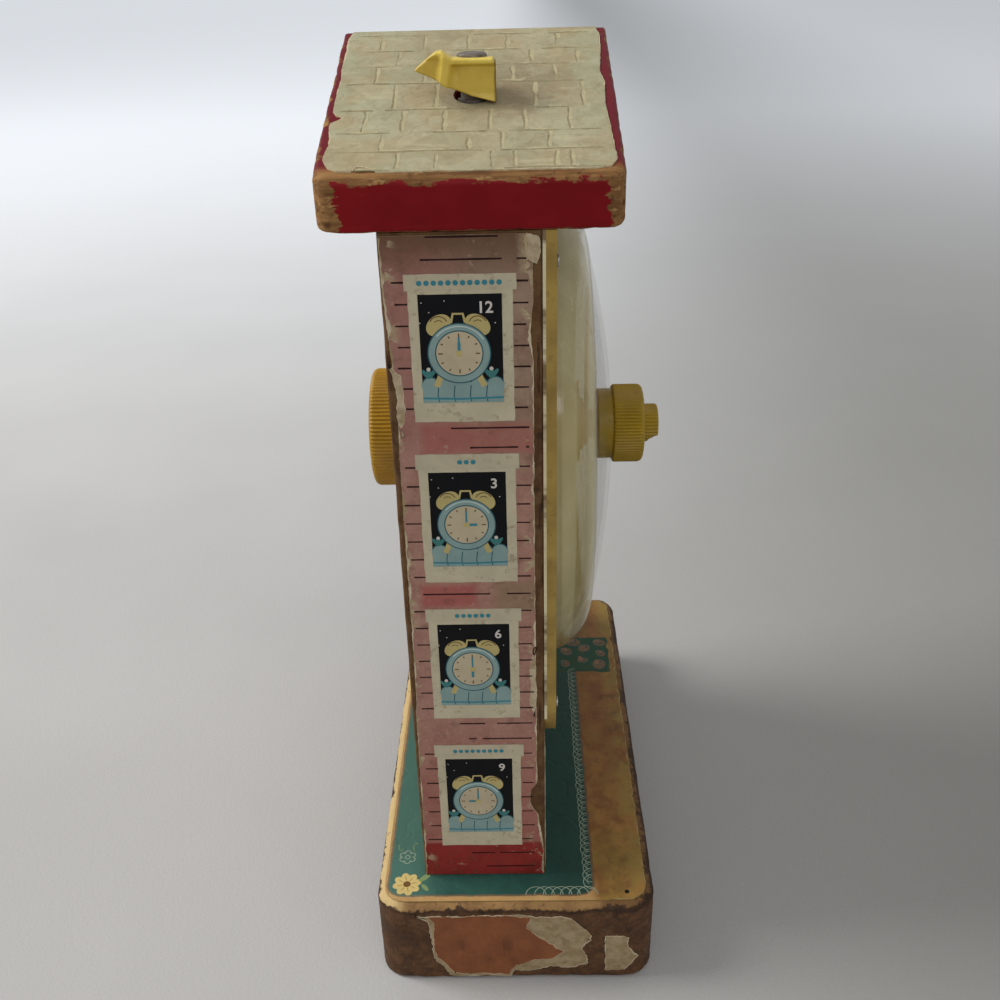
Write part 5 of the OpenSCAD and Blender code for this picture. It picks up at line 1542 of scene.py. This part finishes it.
def studio():
    """Plain pale floor, lighter with distance, with a painted shadow at the right, soft world light and three
    lamps.
    """
    floor = Finish("floor")
    cloth = floor.clouds(0.9, 3, 0.6, 91)
    floor.colour = floor.blend(floor.clouds(160, 3, 0.5, 92).above(0.5, 0.3), "afadaa", "b8b6b3")
    far = floor.x.above(900, 900)
    # A painted shadow of the clock on the floor to its right.
    right = floor.y.below(-110, 230) * (1 - floor.y.below(-560, 520) * 0.55)
    floor.coat(far, "e3e6ea")
    floor.coat(right * (1 - far * 0.6) * 0.75, "787771")
    rays = ("Is Camera Ray", "Is Glossy Ray", "Is Transmission Ray")
    seen = [floor.add("LightPath", output=ray) for ray in rays]
    lit = far * (1 - right) * seen[0].most(seen[1]).most(seen[2])
    glow = floor.blend(lit, (0.0, 0.0, 0.0), (0.3, 0.315, 0.335))
    floor.shade(0.9, cloth, 0.15, 0.5, Emission_Color=glow, Emission_Strength=1.0)
    corners = np.array([(-1, -1, 0), (1, -1, 0), (1, 1, 0), (-1, 1, 0)]) * FLOOR_REACH + [0, 0, FLOOR_Z]
    ground = add_mesh("floor", corners, [(0, 1, 2, 3)])
    ground.data.materials.append(floor.material)
    world = bpy.data.worlds.new("studio")
    world.use_nodes = True
    background = world.node_tree.nodes["Background"]
    background.inputs["Color"].default_value = (0.97, 0.985, 1.0, 1)
    background.inputs["Strength"].default_value = 0.5
    bpy.context.scene.world = world
    for name, place, aim, size, power in LAMPS:
        lamp = bpy.data.lights.new(name, "AREA")
        lamp.shape = "DISK"
        lamp.size = size
        lamp.energy = power
        holder = add_object(name, lamp)
        holder.location = place
        holder.rotation_euler = (Vector(aim) - Vector(place)).to_track_quat("-Z", "Y").to_euler()


def camera():
    """The photograph's camera."""
    lens = bpy.data.cameras.new("camera")
    lens.lens = LENS
    lens.sensor_width = SENSOR
    lens.clip_start = 0.01
    ahead = Vector(AHEAD).normalized()
    right = ahead.cross(Vector(UP)).normalized()
    turn = Matrix((right, right.cross(ahead), -ahead)).transposed().to_4x4()
    holder = add_object("camera", lens)
    holder.matrix_world = Matrix.Translation(Vector(EYE) * MM) @ turn
    bpy.context.scene.camera = holder


# Building

# Darker yellow for the front knob, its tip and the boss: partly grimier plastic, partly painted shade.
yellow = plastic("yellow_plastic", "a28419", "907318", 71)
# A lighter copy of the same yellow for the winding knob: painted light, as it stands nearer the lamp.
rear_yellow_painted_light = plastic("winding_plastic_painted_light", "b58b20", "a1791b", 72)
frame_yellow = plastic("frame_plastic", "a38743", "836a33", 79)
orange = plastic("orange_plastic", "d9642a", "c9551f", 75)
black_plastic = plastic("black_plastic", "2b2a29", "3a3734", 77)
steel = metal("steel", "b9b9b6", "6f675d", 0.35, 81)
spring_steel = metal("spring_steel", "8d96a0", "575a5e", 0.3, 83)
zinc = metal("zinc_plate", "b4b4ac", "8b877a", 0.45, 85)
brass = metal("brass", "c79f4b", "8d6a30", 0.32, 87)
dark_steel = metal("dark_steel", "8a8278", "5d554c", 0.55, 89, 0.1)
panel_board = card("panel_board", "7d5c3c", "694a30", 91)
dial_card = card("dial_card", "d2c8a8", "c4b78f", 93, CARD_HI[0])
roof_finish = roof_wood()
paper_core = label_paper("paper_core", "b9a88c", "9b8869", 57)

# Inks of all prints: colour, worn colour, where wear begins and how soiled
INKS = {name: ink(name, *given) for name, given in {
    "dash": ("281010", "7c5848", 0.74), "frame": ("bdb398", "7d6a50", 0.66, 0.4),
    "strip": ("b8ae94", "7d6a50", 0.68, 0.3), "black": ("08090d", "5c564d", 0.78), "white": ("c9c3bb",),
    "teal": ("3a7f8c", "6f9aa4"), "pale_blue": ("829a96", "5f6f72"), "ring_light": ("b7c6c0",),
    "teal_line": ("2d5a63", "48666c", 0.8), "teal_leaf": ("3f7674", "5c7a78"), "blond": ("b5a56e", "8f835a"),
    "brown_line": ("5d4526", "6d5638", 0.8), "cream_face": ("b8aa8e", "93866c"),
    "joint": ("857c5e", "a09672", 0.5), "joint_light": ("b8ad89", "a59b78", 0.5),
    "daisy": ("cdb573", "a3905a"), "daisy_heart": ("6f4f2c",), "leaf_light": ("7c8f5e", "5f7a5c"),
    "lace": ("94a18c", "5f7f6e", 0.56), "meadow": ("34503c", "5d5a38", 0.6),
    "garland_line": ("24564f", "3f6455"), "base_black": ("16150f",),
    "rose": ("74604c", "5c5a40", 0.56), "rose_light": ("8c6f58", "66614a", 0.56),
    "dial_teal": ("3b7f8e",), "dial_black": ("26211c", "6b6152", 0.8), "dial_orange": ("c9682f",)}.items()}

base_board(base_wood())
roof_slab(-1, roof_finish)
roof_slab(1, roof_finish)
side_board(-1, board_wood("left_board_wood", "61401f", "442a13", 14))
side_board(1, board_wood("right_board_wood", "704b29", "50341c", 15))
side_papers({-1: side_print("left_print", 101), 1: side_print("right_print", 113)}, paper_core)
roof_papers(roof_print())
base_papers(base_print())
end_labels(label_paper("label_paper", "a39071", "8e7a59", 47), orange_label())
front_paper(side_print("front_print", 127, False))
dial_print()
dome(clear_plastic())
front_knob(yellow)
knob_tip(yellow)
winding_knob(rear_yellow_painted_light)
bird(bird_plastic())
bird_post(dark_steel)

# Finish, edge radius and CAD nodes
DRESSED = [
    (panel_board, 0.4, "front_board"), (panel_board, 0.5, "rear_panel"), (dial_card, 0.1, "dial_card"),
    (frame_yellow, 0.6, "dial_frame"), (yellow, 0.8, "centre_boss"), (orange, 0.3, "minute_hand hour_hand"),
    (steel, 0.1, "boss_screws reduction_stud cylinder_axle comb_screws governor_arbor"),
    (steel, 0.2, "base_screws roof_screws minute_arbor plate_posts winding_arbor movement_screws"),
    (steel, 0.25, "frame_nails rear_panel_nails"),
    (brass, 0.05, "music_cylinder"), (brass, 0.15, "barrel_cover"), (brass, 0.2, "spring_barrel"),
    (brass, 0.1, "cannon_pinion reduction_wheel hour_wheel governor_fly"),
    (spring_steel, 0.05, "mainspring music_comb"), (spring_steel, 0.1, "arbor_clip post_clip"),
    (zinc, 0.2, "motion_plate cylinder_brackets governor_bracket"),
    (zinc, 0.3, "movement_bedplate comb_block"),
    (black_plastic, 0.2, "bird_bushing")]
for finish, radius, nodes in DRESSED:
    for node in nodes.split():
        dress(node, finish, radius)

studio()
camera()
bpy.context.scene.view_settings.view_transform = "Standard"
